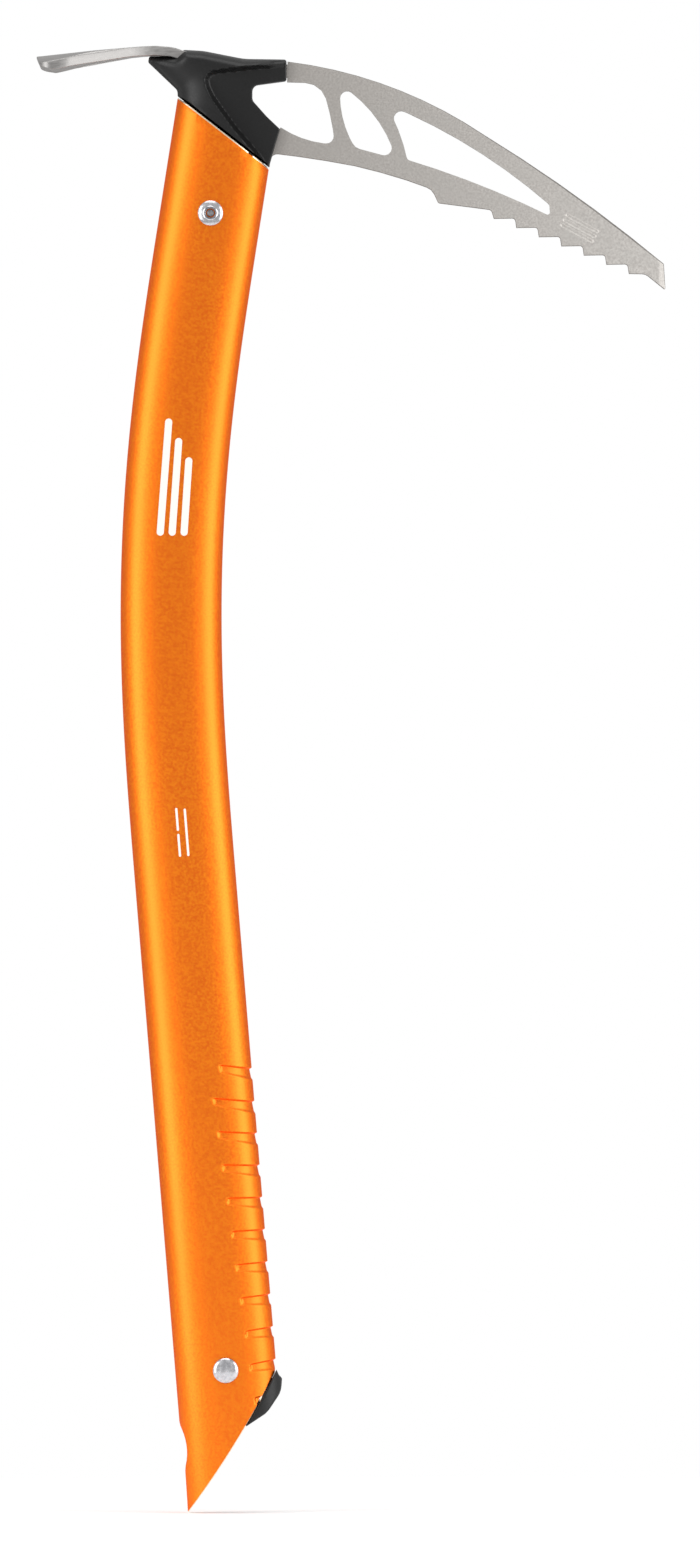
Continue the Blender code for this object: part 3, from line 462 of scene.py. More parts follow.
def bar(tree, where, centre, turn, half_length, half_width):
    """1 inside a round-ended bar on the near side, by the distance from the bar's middle line."""
    mapped = add(tree, "Mapping", {"Vector": where, "Location": (centre[0] * MM, 0.0, centre[1] * MM),
                                   "Rotation": (0.0, turn, 0.0)}, vector_type="TEXTURE")
    size = add(tree, "VectorMath", {0: mapped.outputs["Vector"]}, operation="ABSOLUTE").outputs["Vector"]
    over = add(tree, "VectorMath", {0: size, 1: (0.0, 1.0, half_length * MM)}, operation="SUBTRACT")
    over = add(tree, "VectorMath", {0: over.outputs["Vector"], 1: (0.0, 0.0, 0.0)}, operation="MAXIMUM")
    away = add(tree, "VectorMath", {0: over.outputs["Vector"]}, operation="LENGTH").outputs["Value"]
    inside = add(tree, "Math", {0: away, 1: half_width * MM}, operation="LESS_THAN").outputs["Value"]
    near = add(tree, "SeparateXYZ", {"Vector": where}).outputs["Y"]
    near = add(tree, "Math", {0: near, 1: 0.0}, operation="LESS_THAN").outputs["Value"]
    return add(tree, "Math", {0: inside, 1: near}, operation="MULTIPLY").outputs["Value"]


# Plain printed bars on the shaft: height, offset across the shaft, half length and half width
PRINTED_BARS = ((319.5, -3.6, 17.0, 1.1), (316.5, 0.0, 14.0, 1.1), (313.5, 3.6, 11.0, 1.1),
                (214.0, -1.0, 3.2, 0.35), (206.0, -1.0, 3.2, 0.35), (210.0, 1.6, 7.0, 0.35))


def anodised_aluminium():
    """Drawn aluminium tube, blasted, anodised and dyed orange: a metal with a fine sparkle and soft bands
    of light, and pad-printed white bars."""
    made, tree, shader, where = new_finish("anodised_aluminium", 1.0, 0.36)
    shader.inputs["Coat Weight"].default_value = 0.22
    shader.inputs["Coat IOR"].default_value = 1.77
    shader.inputs["Specular Tint"].default_value = srgb("#FF9A48")
    shader.inputs["Coat Roughness"].default_value = 0.36
    # blasting leaves 0.1 mm pits, drawn at 0.7 mm so that they show
    pits = grain(tree, where, 0.7, detail=3.0)
    cloud = grain(tree, where, 14.0, (1.0, 1.0, 0.35))
    dyed = blend(tree, between(tree, pits, 0.0, 1.0), srgb("#FF7400"), srgb("#FF8B0A"))
    dyed = blend(tree, between(tree, cloud, 0.0, 0.35), dyed, srgb("#FF7A00"))
    print_mask = None
    for height, across, half_length, half_width in PRINTED_BARS:
        centre = (float(axis_x(height)) + across, height)
        mask = bar(tree, where, centre, float(lean(height)), half_length, half_width)
        if print_mask is not None:
            mask = add(tree, "Math", {0: print_mask, 1: mask}, operation="MAXIMUM").outputs["Value"]
        print_mask = mask
    colour = blend(tree, print_mask, dyed, srgb("#F4F1EC"))
    tree.links.new(colour, shader.inputs["Base Color"])
    bare = add(tree, "Math", {0: 1.0, 1: print_mask}, operation="SUBTRACT").outputs["Value"]
    tree.links.new(bare, shader.inputs["Metallic"])
    tree.links.new(between(tree, pits, 0.4, 0.5), shader.inputs["Roughness"])
    roughen(tree, shader, pits, 0.03, 0.35)
    return made


def cut_aluminium_painted_highlight():
    """Bare sawn and filed aluminium at the tube's ends, with fine lines from side to side. The bare metal is
    real; its pale cream tone is painted highlight, standing in for the light the broken edge catches.
    """
    made, tree, shader, where = new_finish("cut_aluminium_painted_highlight", 1.0, 0.3)
    lines = grain(tree, where, 0.5, (1.0, 0.2, 1.0))
    # painted highlight: the pale cream tones stand in for light caught on the cut's broken edge
    tree.links.new(blend(tree, between(tree, lines, 0.0, 1.0), srgb("#F0DDBC"), srgb("#FCF0DA")),
                   shader.inputs["Base Color"])
    roughen(tree, shader, lines, 0.02, 0.3)
    return made


def blasted_steel():
    """Laser-cut steel plate, heat treated and bead blasted: matte grey with a fine tooth, darkened towards
    its root by painted shade.
    """
    made, tree, shader, where = new_finish("blasted_steel", 1.0, 0.5)
    # bead marks of 0.1 mm, drawn at 0.6 mm
    beads = grain(tree, where, 0.6, detail=3.0)
    cloud = grain(tree, where, 9.0)
    grey = blend(tree, between(tree, beads, 0.0, 1.0), srgb("#D2CDC8"), srgb("#E2DED9"))
    grey = blend(tree, between(tree, cloud, 0.0, 0.5), grey, srgb("#D6D3CE"))
    # painted shade: the plate is darker at its root than at its tip, standing in for the light falling off
    # towards the root
    along = add(tree, "SeparateXYZ", {"Vector": where}).outputs["X"]
    painted_root_shade = between(tree, along, 0.6, 0.0, HEAD[0] * MM, HIGH[0] * MM)
    tree.links.new(blend(tree, painted_root_shade, grey, srgb("#8F8A85")), shader.inputs["Base Color"])
    tree.links.new(between(tree, beads, 0.46, 0.56), shader.inputs["Roughness"])
    roughen(tree, shader, beads, 0.025, 0.28)
    return made


def scorched_edge():
    """Laser-cut edges of the plate: darker than its blasted faces, with the fine lines of the cut
    running across the plate's thickness."""
    made, tree, shader, where = new_finish("scorched_edge", 1.0, 0.5)
    lines = grain(tree, where, 0.5, (1.0, 0.15, 1.0))
    tree.links.new(blend(tree, between(tree, lines, 0.0, 1.0), srgb("#7E7A76"), srgb("#96928E")),
                   shader.inputs["Base Color"])
    roughen(tree, shader, lines, 0.03, 0.3)
    return made


def satin_stainless():
    """Cold-rolled stainless sheet with a satin finish: fine lines along the adze and a soft shine."""
    made, tree, shader, where = new_finish("satin_stainless", 1.0, 0.32)
    lines = grain(tree, where, 0.5, (0.12, 1.0, 1.0), detail=3.0)
    tree.links.new(blend(tree, between(tree, lines, 0.0, 1.0), srgb("#9C9A98"), srgb("#AEACAA")),
                   shader.inputs["Base Color"])
    tree.links.new(between(tree, lines, 0.42, 0.54), shader.inputs["Roughness"])
    roughen(tree, shader, lines, 0.02, 0.3)
    return made


def rivet_steel():
    """Upset stainless rivet: bright from the setting tool, with faint marks."""
    made, tree, shader, where = new_finish("rivet_steel", 1.0, 0.2)
    marks = grain(tree, where, 1.1, detail=3.0)
    tree.links.new(blend(tree, between(tree, marks, 0.0, 1.0), srgb("#BEBEC2"), srgb("#DCDCE0")),
                   shader.inputs["Base Color"])
    tree.links.new(between(tree, marks, 0.16, 0.3), shader.inputs["Roughness"])
    roughen(tree, shader, marks, 0.02, 0.25)
    return made


def rivet_core():
    """Snapped-off steel pin of the blind rivet: dull grey with a torn grain."""
    made, tree, shader, where = new_finish("rivet_core", 1.0, 0.5)
    torn = grain(tree, where, 0.3, detail=3.0)
    tree.links.new(blend(tree, between(tree, torn, 0.0, 1.0), srgb("#77777A"), srgb("#A8A8AC")),
                   shader.inputs["Base Color"])
    roughen(tree, shader, torn, 0.05, 0.6)
    return made


def moulded_nylon():
    """Injection-moulded black nylon: dielectric, satin, with the fine spark-eroded texture of its mould."""
    made, tree, shader, where = new_finish("moulded_nylon", 0.0, 0.42)
    shader.inputs["IOR"].default_value = 1.46
    # the mould's texture is 0.15 mm, drawn at 0.45 mm
    texture = grain(tree, where, 0.45)
    tree.links.new(blend(tree, between(tree, texture, 0.0, 1.0), srgb("#070707"), srgb("#0D0D0E")),
                   shader.inputs["Base Color"])
    tree.links.new(between(tree, texture, 0.38, 0.48), shader.inputs["Roughness"])
    roughen(tree, shader, texture, 0.02, 0.25)
    return made


def opal_acrylic():
    """Matte opal acrylic of a light table, faintly lit from below: only a soft contact shadow is left."""
    made, tree, shader, where = new_finish("opal_acrylic", 0.0, 0.9)
    shader.inputs["Emission Color"].default_value = srgb("#FFFFFF")
    shader.inputs["Emission Strength"].default_value = 0.14
    cloud = grain(tree, where, 6.0)
    tree.links.new(blend(tree, cloud, srgb("#F6F6F6"), srgb("#FAFAFA")), shader.inputs["Base Color"])
    return made


# ---------------------------------------------------------------- shaft

def groove_rows():
    """Rows of the outer skin: height where a row starts, its groove, and how far below the upper edge it is.

    Every groove has the same rows, close together at its steep upper edge.
    """
    below = np.array([-0.2, -0.05, 0.1, 0.25, 0.4, 0.55, 0.75, 1.1, 1.5, 1.9, 2.2, 2.5,
                      2.8, 3.1, 3.4, 3.7, 4.0, 4.4, 5.3, 6.5, 7.7, 8.9, 9.6])
    index = np.repeat(np.arange(GROOVE_COUNT), len(below))
    offset = np.tile(below, GROOVE_COUNT)
    grip = GROOVE_TOP - GROOVE_PITCH * index - offset
    above = np.arange(GROOVE_TOP + 1.5, ROWS_TOP, 3.6)[::-1]
    under = np.arange(grip[-1] - 2.0, ROWS_FOOT, -1.6)
    heights = np.concatenate([above, grip, under])
    index = np.concatenate([0 * above, index, 0 * under + GROOVE_COUNT - 1]).astype(int)
    offset = np.concatenate([0 * above - 9.0, offset, 0 * under + 9.9])
    return heights[::-1], index[::-1], offset[::-1]


def groove_depth(offset, past_start):
    """Depth of the pressed grooves at a distance below the upper edge and past the inner end.

    It is steep at the upper edge, then shallower down to a low step at the lower one. Both edges are
    smooth steps, and the inner end is rounded.
    """
    width = GROOVE_INNER_WIDTH + GROOVE_WIDENING * np.clip(past_start, 0.0, None)
    share = offset / width
    run_out = 1.0 - GROOVE_SHALLOWING * np.clip(share, 0.0, 1.0)
    run_out = run_out * smooth((1.08 - share) / GROOVE_LOWER_STEP)
    upper = smooth(offset / GROOVE_UPPER_STEP + 0.1)
    return GROOVE_DEPTH * upper * run_out * smooth(past_start / GROOVE_END_ROUNDING)


def shaft(orange, bare):
    """Bent oval tube, open at both ends; rows run up the outer skin, over the cut and down the inner skin."""
    angle = np.linspace(0.0, math.tau, COLUMNS, endpoint=False)[None, :]
    heights, index, offset = (row[:, None] for row in groove_rows())
    across = np.sign(np.cos(angle)) * np.abs(np.cos(angle)) ** (2 / OVAL_POWER) * SHAFT_WIDTH / 2
    past_start = across - GROOVE_STARTS[index]
    centres = GROOVE_TOP - GROOVE_PITCH * np.arange(GROOVE_COUNT)
    slope = np.interp(-heights, -np.concatenate([[GROOVE_TOP + 30.0], centres]), [0.0, *GROOVE_SLOPES])
    start = np.interp(-heights, -centres, GROOVE_STARTS)
    z = heights + slope * np.clip(across - start, 0.0, None)
    depth = groove_depth(offset, past_start)

    def ends(grow, web):
        """Heights where each column meets the foot cut and the head cut."""
        return (meets(foot_cut, angle, grow, web, 20.0), meets(head_cut, angle, grow, web, HEAD[1]))

    foot, head = ends(0.0, 0.0)
    lowest = foot + EDGE_BREAK_RISE
    foot_depth = np.take_along_axis(depth, np.argmax(z > lowest, axis=0)[None, :], axis=0)
    depth = np.where(z > lowest, depth, foot_depth)
    z = np.clip(z, lowest, head - EDGE_BREAK_RISE)
    outer = np.stack([*tube_point(z, angle, -depth), z], -1)
    grow = -EDGE_BREAK - foot_depth
    foot_break, head_break = (np.stack([*tube_point(end, angle, grow, EDGE_BREAK), end], -1)
                              for end in ends(grow, EDGE_BREAK))
    inner_z = np.linspace(ROWS_TOP, ROWS_FOOT, 60)[:, None] + 0.0 * angle
    inner_z = np.clip(inner_z, *ends(-SHAFT_WALL, REAR_WEB))
    inner = np.stack([*tube_point(inner_z, angle, -SHAFT_WALL, REAR_WEB), inner_z], -1)
    points = np.vstack([foot_break, outer, head_break, inner, foot_break])
    faces = grid_faces(len(points), COLUMNS)
    # the rim rows take the cut finish, whose pale cream tone is partly painted highlight
    rim = np.zeros(len(points) - 1, int)
    rim[[0, len(outer), len(outer) + 1, -1]] = 1
    finish = np.tile(np.repeat(rim, COLUMNS), 2)
    piece("shaft_tube_skin", points.reshape(-1, 3), faces, [orange, bare], "orange_anodised", "shaft_tube",
          sharp=32.0, finish_index=finish)


# ---------------------------------------------------------------- pick

def plate_loops(node):
    """Outlines of a plate's near face: the edges that only one of its flat triangles has, chained."""
    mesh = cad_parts[node].data
    spots = np.empty(len(mesh.vertices) * 3)
    mesh.vertices.foreach_get("co", spots)
    spots = np.round(spots.reshape(-1, 3) / MM, 4)
    spots, same = np.unique(spots, axis=0, return_inverse=True)
    mesh.calc_loop_triangles()
    triangles = np.empty(len(mesh.loop_triangles) * 3, int)
    mesh.loop_triangles.foreach_get("vertices", triangles)
    triangles = same.ravel()[triangles].reshape(-1, 3)
    a, b, c = (spots[triangles[:, k]] for k in range(3))
    normal = np.cross(b - a, c - a)
    flat = triangles[normal[:, 1] < -0.9 * np.linalg.norm(normal, axis=1).clip(1e-9)]
    edges = {(p, q) for t in flat.tolist() for p, q in zip(t, t[1:] + t[:1])}
    after = {p: q for p, q in edges if (q, p) not in edges}
    loops = []
    while after:
        here, loop = next(iter(sorted(after))), []
        while here in after:
            loop.append(here)
            here = after.pop(here)
        loops.append(spots[loop][:, [0, 2]])
    return sorted(loops, key=lambda loop: -np.ptp(loop[:, 0]))


# Plain stamped bars on the pick: along and across from the stamp's middle, half length and half width
STAMP = np.array([70.6, 396.4])
STAMP_TURN = math.radians(-28.5)
STAMPED_BARS = ((0.0, 1.7, 5.2, 0.45), (0.0, 0.0, 5.2, 0.45), (0.0, -1.7, 5.2, 0.45))
STAMP_DEPTH = 0.24


def pick(steel, cut_edge):
    """Flat plate with broken edges, a wider chamfer along its back, a thinned tip and a chisel facet."""
    loops = [loop for loop in plate_loops("pick_blade") if np.ptp(loop[:, 0]) > SMALLEST_WINDOW]
    taper_start = HIGH[0] - TAPER_LENGTH

    def half(p):
        """Half thickness: it thins along the taper and at the facet, and dips in the stamped bars."""
        taper = np.clip((p[:, 0] - taper_start) / TAPER_LENGTH, 0.0, 1.0)
        thin = HALF_PLATE + (HALF_TIP - HALF_PLATE) * taper
        facet = FACET_DEPTH * np.clip((p[:, 0] - (HIGH[0] - FACET_LENGTH)) / FACET_LENGTH, 0.0, 1.0)
        local = (p - STAMP) @ np.array([[math.cos(STAMP_TURN), -math.sin(STAMP_TURN)],
                                        [math.sin(STAMP_TURN), math.cos(STAMP_TURN)]])
        dent = np.zeros(len(p))
        for along, across, half_length, half_width in STAMPED_BARS:
            over = np.clip(np.abs(local[:, 0] - along) - half_length, 0.0, None)
            away = np.hypot(over, local[:, 1] - across)
            dent = np.maximum(dent, STAMP_DEPTH * smooth((half_width + 0.15 - away) / 0.3))
        return thin - facet - dent

    def rim(loop):
        """Radius of the broken edge: wider along the back of the pick, on the outer outline only."""
        normal = inward(loop)
        along_back = smooth((loop[:, 0] - 20.0) / 70.0) * smooth((-normal[:, 1] - 0.4) / 0.3)
        return PLATE_EDGE + PLATE_BACK_CHAMFER * along_back * (np.ptp(loop[:, 0]) > 120.0)

    extra = np.vstack([lattice((LOW[0], HEAD[1] - 80.0), (HIGH[0] - 4.0, HIGH[2]), 2.2),
                       lattice((HIGH[0] - 4.0, HEAD[1] - 60.0), (HIGH[0], HEAD[1] - 35.0), 0.45),
                       lattice(STAMP - 7.0, STAMP + 7.0, 0.26)])
    flat, faces, on_edge = pressed(loops, lambda p: -half(p), half, rim, extra, steps=3)
    piece("pick_plate", flat[:, [0, 2, 1]], faces, [steel, cut_edge], "laser_cut_steel", "pick_blade",
          sharp=38.0, finish_index=on_edge)


# ---------------------------------------------------------------- adze

def tongue_top(local):
    """Height above HEAD of the adze's top face along its middle."""
    xs = [-ADZE_REACH, -ADZE_REACH + 18.4, -24.6, -20.6, -15.1, -12.6, -10.6, -5.6, 0.0]
    drops = [3.3, 1.3, 0.2, 0.0, 0.5, 1.4, 2.4, 3.4, 4.4]
    shifts = np.array([-1.2, -0.4, 0.4, 1.2])
    return sum(np.interp(local + s, xs, CROWN_RISE - np.array(drops)) for s in shifts) / len(shifts)


def adze_top(p):
    """Top face: the profile of the middle, arched down towards the side edges as the square of y."""
    local = p[:, 0] - HEAD[0]
    flare = np.clip((-ADZE_FLARE_START - local) / (ADZE_REACH - ADZE_FLARE_START), 0.0, 1.0)
    return HEAD[1] + tongue_top(local) - ADZE_ARCH * flare * (2 * p[:, 1] / ADZE_WIDTH) ** 2


def adze_underside(p):
    """Lower face, ground away in a straight bevel towards the cutting edge."""
    from_edge = p[:, 0] - LOW[0]
    t = np.clip(from_edge / ADZE_BEVEL, 0.0, 1.0)
    return adze_top(p) - ADZE_EDGE_THICKNESS - (ADZE_THICKNESS - ADZE_EDGE_THICKNESS) * t


def adze(stainless):
    """Flared and arched blade with its neck, cut from sheet with broken edges."""
    neck, wide = ADZE_NECK_WIDTH / 2, ADZE_WIDTH / 2
    half = [(-6.0, neck), (-23.0, neck, 22.0), (-ADZE_REACH + 9.0, wide - 0.6, 12.0),
            (-ADZE_REACH + 1.2, wide, 4.0)]
    other = [(x, -y, *rest) for x, y, *rest in reversed(half)]
    half[-1] += ((-ADZE_REACH, 0.0),)
    moved = [(x + HEAD[0], y, *rest[:1], *((v[0] + HEAD[0], v[1]) for v in rest[1:]))
             for x, y, *rest in half + other]
    extra = np.vstack([lattice((LOW[0], -wide), (HEAD[0], wide), 1.3),
                       lattice((LOW[0] + ADZE_BEVEL - 0.6, -wide), (LOW[0] + ADZE_BEVEL + 0.6, wide), 0.55)])
    flat, faces, _ = pressed([outline(moved)], adze_underside, adze_top, ADZE_EDGE_BREAK, extra, steps=3)
    piece("adze_sheet", flat, faces, [stainless], "stainless_sheet", "adze_blade", sharp=24.0)


# ---------------------------------------------------------------- cover

def head_corner(side):
    """End of the head cut at the front (side 1) or rear (side -1) edge of the shaft, from HEAD."""
    half = SHAFT_WIDTH / 2 / math.cos(HEAD_CUT_SLOPE - LEAN_HEAD)
    return side * half * np.array([math.cos(HEAD_CUT_SLOPE), -math.sin(HEAD_CUT_SLOPE)])


# The cover's outline along its top and its rear, and the crease across its side, from HEAD
COVER_TOP = np.array([(ARM_END, 22.6), (6.4, 22.8), (-6.3, 25.3), (-12.3, 25.6), (-14.7, 23.6),
                      (-22.9, 23.6)])
COVER_REAR = np.array([(-23.2, 21.8), (-14.2, 13.2), head_corner(-1)])
CREASE = np.array([head_corner(1) + (0.2, 0.0), (9.4, -5.3), (3.7, 1.3), (-0.5, 7.0), (-3.4, 11.2),
                   (-4.7, 14.0), (-5.2, 16.3), (-4.4, 17.8), (-3.0, 18.6), (3.2, 19.4), (9.4, 20.1),
                   (22.0, 21.0)])


def cover_half_thickness(p):
    """Distance of the cover's face from the middle plane.

    The round body carries on the shaft's oval at the cut and rounds off at the rear and top edges, the
    product of a superellipse across each of them. Beyond the crease it steps down to a scooped face,
    which rises in a soft bowl towards the crease's rounded end. A bead runs along the top of the upper
    arm.
    """
    local = p - HEAD
    half = SHAFT_WIDTH / 2

    def rounding(distance, radius):
        """0 at an edge and 1 from that radius inwards, along a superellipse."""
        return (1.0 - (1.0 - np.clip(distance / radius, 0.0, 1.0)) ** OVAL_POWER) ** (1 / OVAL_POWER)

    top = distance_to(COVER_TOP, local)[0]
    across = local[:, 0] * math.cos(LEAN_HEAD) - local[:, 1] * math.sin(LEAN_HEAD)
    above_cut = local[:, 1] + math.tan(HEAD_CUT_SLOPE) * local[:, 0]
    rear = rounding(distance_to(COVER_REAR, local)[0], half)
    rear += np.clip(rounding(half + across, half) - rear, 0.0, None) * (1.0 - smooth(above_cut / COVER_SKIRT))
    body = SHAFT_THICKNESS / 2 * rear * rounding(half - across, half) * rounding(top, 3.5)
    bead = BEAD_HALF_THICKNESS + BEAD_SWELL * np.clip((ARM_END - local[:, 0]) / 24.0, 0.0, 1.0)
    bead = bead * rounding(top, 2.0) * smooth((local[:, 0] + 8.0) / 6.0) * (local[:, 1] > 14.0)
    body = np.maximum(body, bead)
    reach = np.clip(np.hypot(local[:, 0] + 5.0, local[:, 1] - 17.5) / 20.0, 0.0, 1.0)
    scoop = ARM_HALF_THICKNESS + SCOOP_RISE * (1.0 - reach) ** 2
    gap, side = distance_to(CREASE, local)
    t = smooth(0.5 + side * gap / CREASE_WIDTH)
    return np.maximum(body + (scoop - body) * t, HALF_PLATE + 1.0)


def cover(name, side, nylon):
    """One half of the moulded cover, flat on the middle plane."""
    front, rear = head_corner(1), head_corner(-1)
    lift = GAP / math.cos(HEAD_CUT_SLOPE)
    corners = [(*p, fillet) for p, fillet in zip(COVER_TOP, (0.8, 20.0, 20.0, 1.5, 0.0, 0.8))]
    corners += [(*COVER_REAR[0], 0.8), (*COVER_REAR[1], 2.0), (rear[0], rear[1] + lift),
                (front[0], front[1] + lift, 0.0, (15.9, -4.2)), (17.5, 1.1, 0.6), (13.4, 5.0, 9.0),
                (8.95, 10.0, 2.5), (8.98, 14.57, 2.2), (ARM_END, 16.0, 0.8)]
    loop = outline(corners) + HEAD
    near_crease = 1.4
    coarse, fine = (lattice(HEAD + (-24.0, -12.0), HEAD + (20.0, 26.0), step) for step in (0.8, 0.36))
    extra = np.vstack([coarse[distance_to(CREASE, coarse - HEAD)[0] > near_crease],
                       fine[distance_to(CREASE, fine - HEAD)[0] <= near_crease]])

    def face(p):
        """Outer face."""
        return side * cover_half_thickness(p)

    def middle(p):
        """Flat inner face, half a gap from the middle plane."""
        return np.full(len(p), side * GAP / 2)

    low, high = (middle, face) if side > 0 else (face, middle)
    flat, faces, _ = pressed([loop], low, high, COVER_EDGE, extra)
    piece(name + "_shell", flat[:, [0, 2, 1]], faces, [nylon], "black_nylon", name, sharp=40.0)


# ---------------------------------------------------------------- foot plug

def plug_stem(nylon):
    """Oval stem: rings that grow out along its slanted foot, then up the wall and in over its top."""
    angle = np.linspace(0.0, math.tau, PLUG_COLUMNS, endpoint=False)[None, :]
    wall = -SHAFT_WALL - GAP
    share = np.linspace(0.0, 1.0, 12)[:, None]
    foot_z = meets(lambda x: foot_cut(x, PLUG_BEYOND_CUT), angle, wall, 0.0, 30.0)
    foot_z = np.maximum(PLUG_LOWEST, foot_z)
    x, y = tube_point(foot_z, angle, wall)
    mid = np.array([x.mean(), 0.0])
    low = np.stack([mid[0] + (x - mid[0]) * share, y * share], -1)
    low_z = np.maximum(PLUG_LOWEST, foot_cut(low[..., 0], PLUG_BEYOND_CUT))
    top_z = FOOT_RIVET_HEIGHT + PLUG_ABOVE_RIVET + 0.0 * share
    high_x, high_y = tube_point(top_z[::-1], angle, wall)
    high_mid = axis_x(top_z)
    rows = np.vstack([np.dstack([low, low_z]),
                      np.stack([high_mid + (high_x - high_mid) * share[::-1], high_y * share[::-1],
                                top_z + 0.0 * angle], -1)])
    piece("foot_plug_stem", rows.reshape(-1, 3), grid_faces(len(rows), PLUG_COLUMNS), [nylon],
          "black_nylon", "foot_plug")


def plug_lip(nylon):
    """Lip that fills the front of the foot cut: it carries on the shaft's oval and bulges below the cut."""
    fx, fz = float(edge_x(FOOT_CUT_HEIGHT, 1)), FOOT_CUT_HEIGHT
    out = 1.75
    xs = np.linspace(fx - 9.3, fx, 7)
    against = [(x, float(foot_cut(x)) - GAP) for x in xs]
    bulge = [(fx + out - 1.0, fz - 1.9, 0.5), (fx + out, fz - 2.9, 0.8), (fx + out - 0.3, fz - 7.0, 8.0),
             (fx - 2.2, fz - 12.4, 5.0), (fx - 3.4, fz - 13.7, 2.0)]

    def half(p):
        """Half thickness: the shaft's oval, carried on as far as the lip stands out."""
        across = np.clip(p[:, 0] - axis_x(p[:, 1]), 0.0, None) / (SHAFT_WIDTH / 2 + out)
        oval = np.clip(1 - across ** OVAL_POWER, 0.0, 1.0) ** (1 / OVAL_POWER)
        return np.maximum(1.4, SHAFT_THICKNESS / 2 * oval)

    extra = lattice((fx - 14.0, fz - 18.0), (fx + 3.0, fz + 1.0), 0.5)
    loop = outline(against + bulge)
    flat, faces, _ = pressed([loop], lambda p: -half(p), half, PLUG_LIP_EDGE, extra)
    piece("foot_plug_lip", flat[:, [0, 2, 1]], faces, [nylon], "black_nylon", "foot_plug", sharp=40.0)


# ---------------------------------------------------------------- rivets

def dome(radius, height, side, inner=0.0):
    """Profile of a domed head on its seat: a short upright edge, then an ellipse up to the crown."""
    angle = np.linspace(0.0, math.acos(inner / radius), 14)
    rise = height - RIVET_RIM
    profile = [(radius * math.cos(a), side * (RIVET_SEAT + RIVET_RIM + rise * math.sin(a))) for a in angle]
    return [(radius - 0.1, side * RIVET_SEAT), (radius, side * (RIVET_SEAT + 0.12)), *profile]


def foot_rivet(steel):
    """Solid rivet, domed on both sides."""
    profile = dome(RIVET_RADIUS, RIVET_DOME, -1)[::-1] + [(RIVET_SHANK, -RIVET_SEAT)]
    profile += [(RIVET_SHANK, RIVET_SEAT)] + dome(RIVET_RADIUS, RIVET_DOME, 1)
    centre = (float(axis_x(FOOT_RIVET_HEIGHT)), FOOT_RIVET_HEIGHT)
    piece("foot_rivet_head", *turned(profile, centre), [steel], "rivet_steel", "foot_rivet", sharp=50.0)


def head_rivet(steel, core):
    """Blind rivet: domed flange with a dished middle round the pin that set it."""
    centre = HEAD - HEAD_RIVET_BELOW_HEAD * np.array([math.sin(LEAN_HEAD), math.cos(LEAN_HEAD)])
    crest = RIVET_SEAT + RIVET_DOME
    dish = [(2.0, -crest + 0.05), (1.85, -crest + 0.2), (1.75, -crest + 0.45), (1.55, -crest + 0.6),
            (1.4, -crest + 0.8)]
    near = dome(RIVET_RADIUS, RIVET_DOME, -1, inner=2.2)
    far = dome(3.6, 1.3, 1, inner=1.4)
    profile = dish[::-1] + near[::-1] + [(RIVET_SHANK, -RIVET_SEAT), (RIVET_SHANK, RIVET_SEAT)] + far
    points, faces = turned(profile + profile[:1], centre)
    piece("head_rivet_flange", points, faces, [steel], "rivet_steel", "head_rivet_body", sharp=50.0)
    end = crest - 0.75
    pin = [(0.0, -end), (0.6, -end - 0.04), (0.95, -end + 0.05), (1.1, -end + 0.25), (1.1, crest + 0.3),
           (1.9, crest + 0.3), (1.8, crest + 0.8), (1.3, crest + 1.2), (0.0, crest + 1.3)]
    piece("head_rivet_pin", *turned(pin, centre, 40), [core], "rivet_core", "head_rivet_mandrel", sharp=40.0)


# ---------------------------------------------------------------- studio

def softbox(name, azimuth, elevation, distance, size, power):
    """White area light aimed at the axe's middle; azimuth 0 is on the camera's side."""
    light = bpy.data.lights.new(name, "AREA")
    light.shape = "RECTANGLE"
    light.size, light.size_y = size
    light.energy = power
    lamp = bpy.data.objects.new(name, light)
    turn, rise = math.radians(azimuth), math.radians(elevation)
    back = Vector((math.sin(turn) * math.cos(rise), -math.cos(turn) * math.cos(rise), math.sin(rise)))
    lamp.location = Vector((0.0, 0.0, HIGH[2] / 2 * MM)) + back * distance
    lamp.rotation_euler = back.to_track_quat("Z", "Y").to_euler()
    bpy.context.scene.collection.objects.link(lamp)


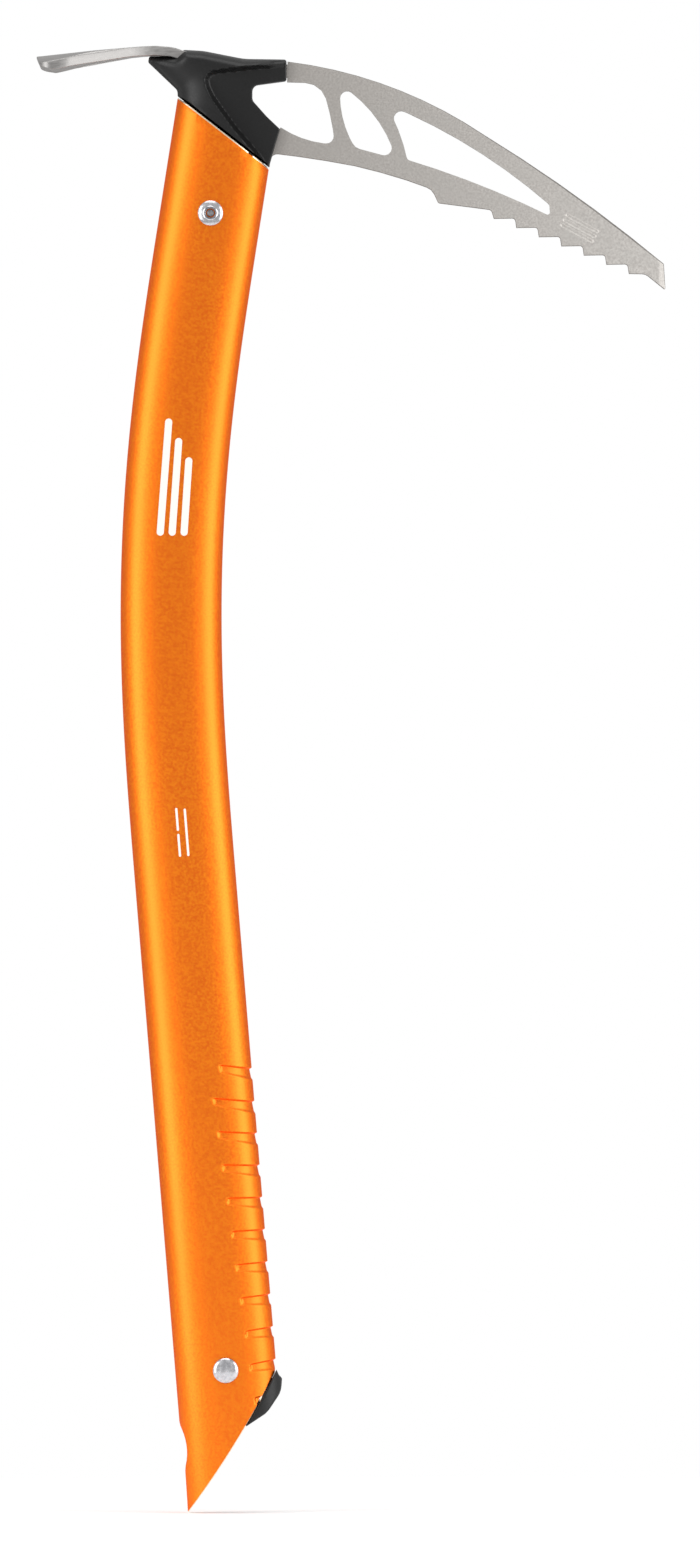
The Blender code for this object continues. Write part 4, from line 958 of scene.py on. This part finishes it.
def studio():
    """Pale floor, white surround, two tall softboxes at the sides, one overhead and a camera side-on."""
    radius, corners = 0.4, 96
    angle = np.linspace(0.0, math.tau, corners, endpoint=False)
    rim = np.column_stack([radius * np.cos(angle), radius * np.sin(angle), 0.0 * angle])
    mesh = bpy.data.meshes.new("studio_floor")
    mesh.from_pydata(rim, [], [tuple(range(corners))])
    mesh.materials.append(opal_acrylic())
    floor = bpy.data.objects.new("studio_floor", mesh)
    bpy.context.scene.collection.objects.link(floor)

    softbox("left_softbox", -56, 6, 1.6, (0.7, 1.8), 13.0)
    softbox("right_softbox", 64, 6, 1.6, (0.9, 1.8), 15.0)
    softbox("top_softbox", -10, 80, 1.9, (1.4, 1.4), 13.0)

    world = bpy.data.worlds.new("studio")
    world.use_nodes = True
    tree = world.node_tree
    tree.nodes.clear()
    ambient = add(tree, "Background", {"Color": srgb("#FFFFFF"), "Strength": 0.6})
    seen = add(tree, "Background", {"Color": srgb("#FFFFFF"), "Strength": 1.0})
    path = add(tree, "LightPath")
    mixed = add(tree, "MixShader", {0: path.outputs["Is Camera Ray"], 1: ambient.outputs[0],
                                    2: seen.outputs[0]})
    add(tree, "OutputWorld", {"Surface": mixed.outputs[0]})
    bpy.context.scene.world = world

    distance, view_height, aim_x, aim_z = 8.0, 0.4765, -0.0003, 0.2286
    camera = bpy.data.cameras.new("camera")
    camera.sensor_width = 36.0
    camera.lens = camera.sensor_width * distance / view_height
    viewer = bpy.data.objects.new("camera", camera)
    viewer.location = (aim_x, -distance, aim_z)
    viewer.rotation_euler = (math.radians(90.0), 0.0, 0.0)
    bpy.context.scene.collection.objects.link(viewer)
    bpy.context.scene.camera = viewer
    bpy.context.scene.view_settings.view_transform = "Standard"


# ---------------------------------------------------------------- make

orange, bare = anodised_aluminium(), cut_aluminium_painted_highlight()
steel, stainless = blasted_steel(), satin_stainless()
bright, core, nylon = rivet_steel(), rivet_core(), moulded_nylon()
shaft(orange, bare)
pick(steel, scorched_edge())
adze(stainless)
cover("head_cover_right", -1, nylon)
cover("head_cover_left", 1, nylon)
plug_stem(nylon)
plug_lip(nylon)
foot_rivet(bright)
head_rivet(bright, core)
for hidden in ("adze_rivet_front", "adze_rivet_rear"):
    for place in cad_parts[hidden].material_slots:
        place.material = bright
studio()
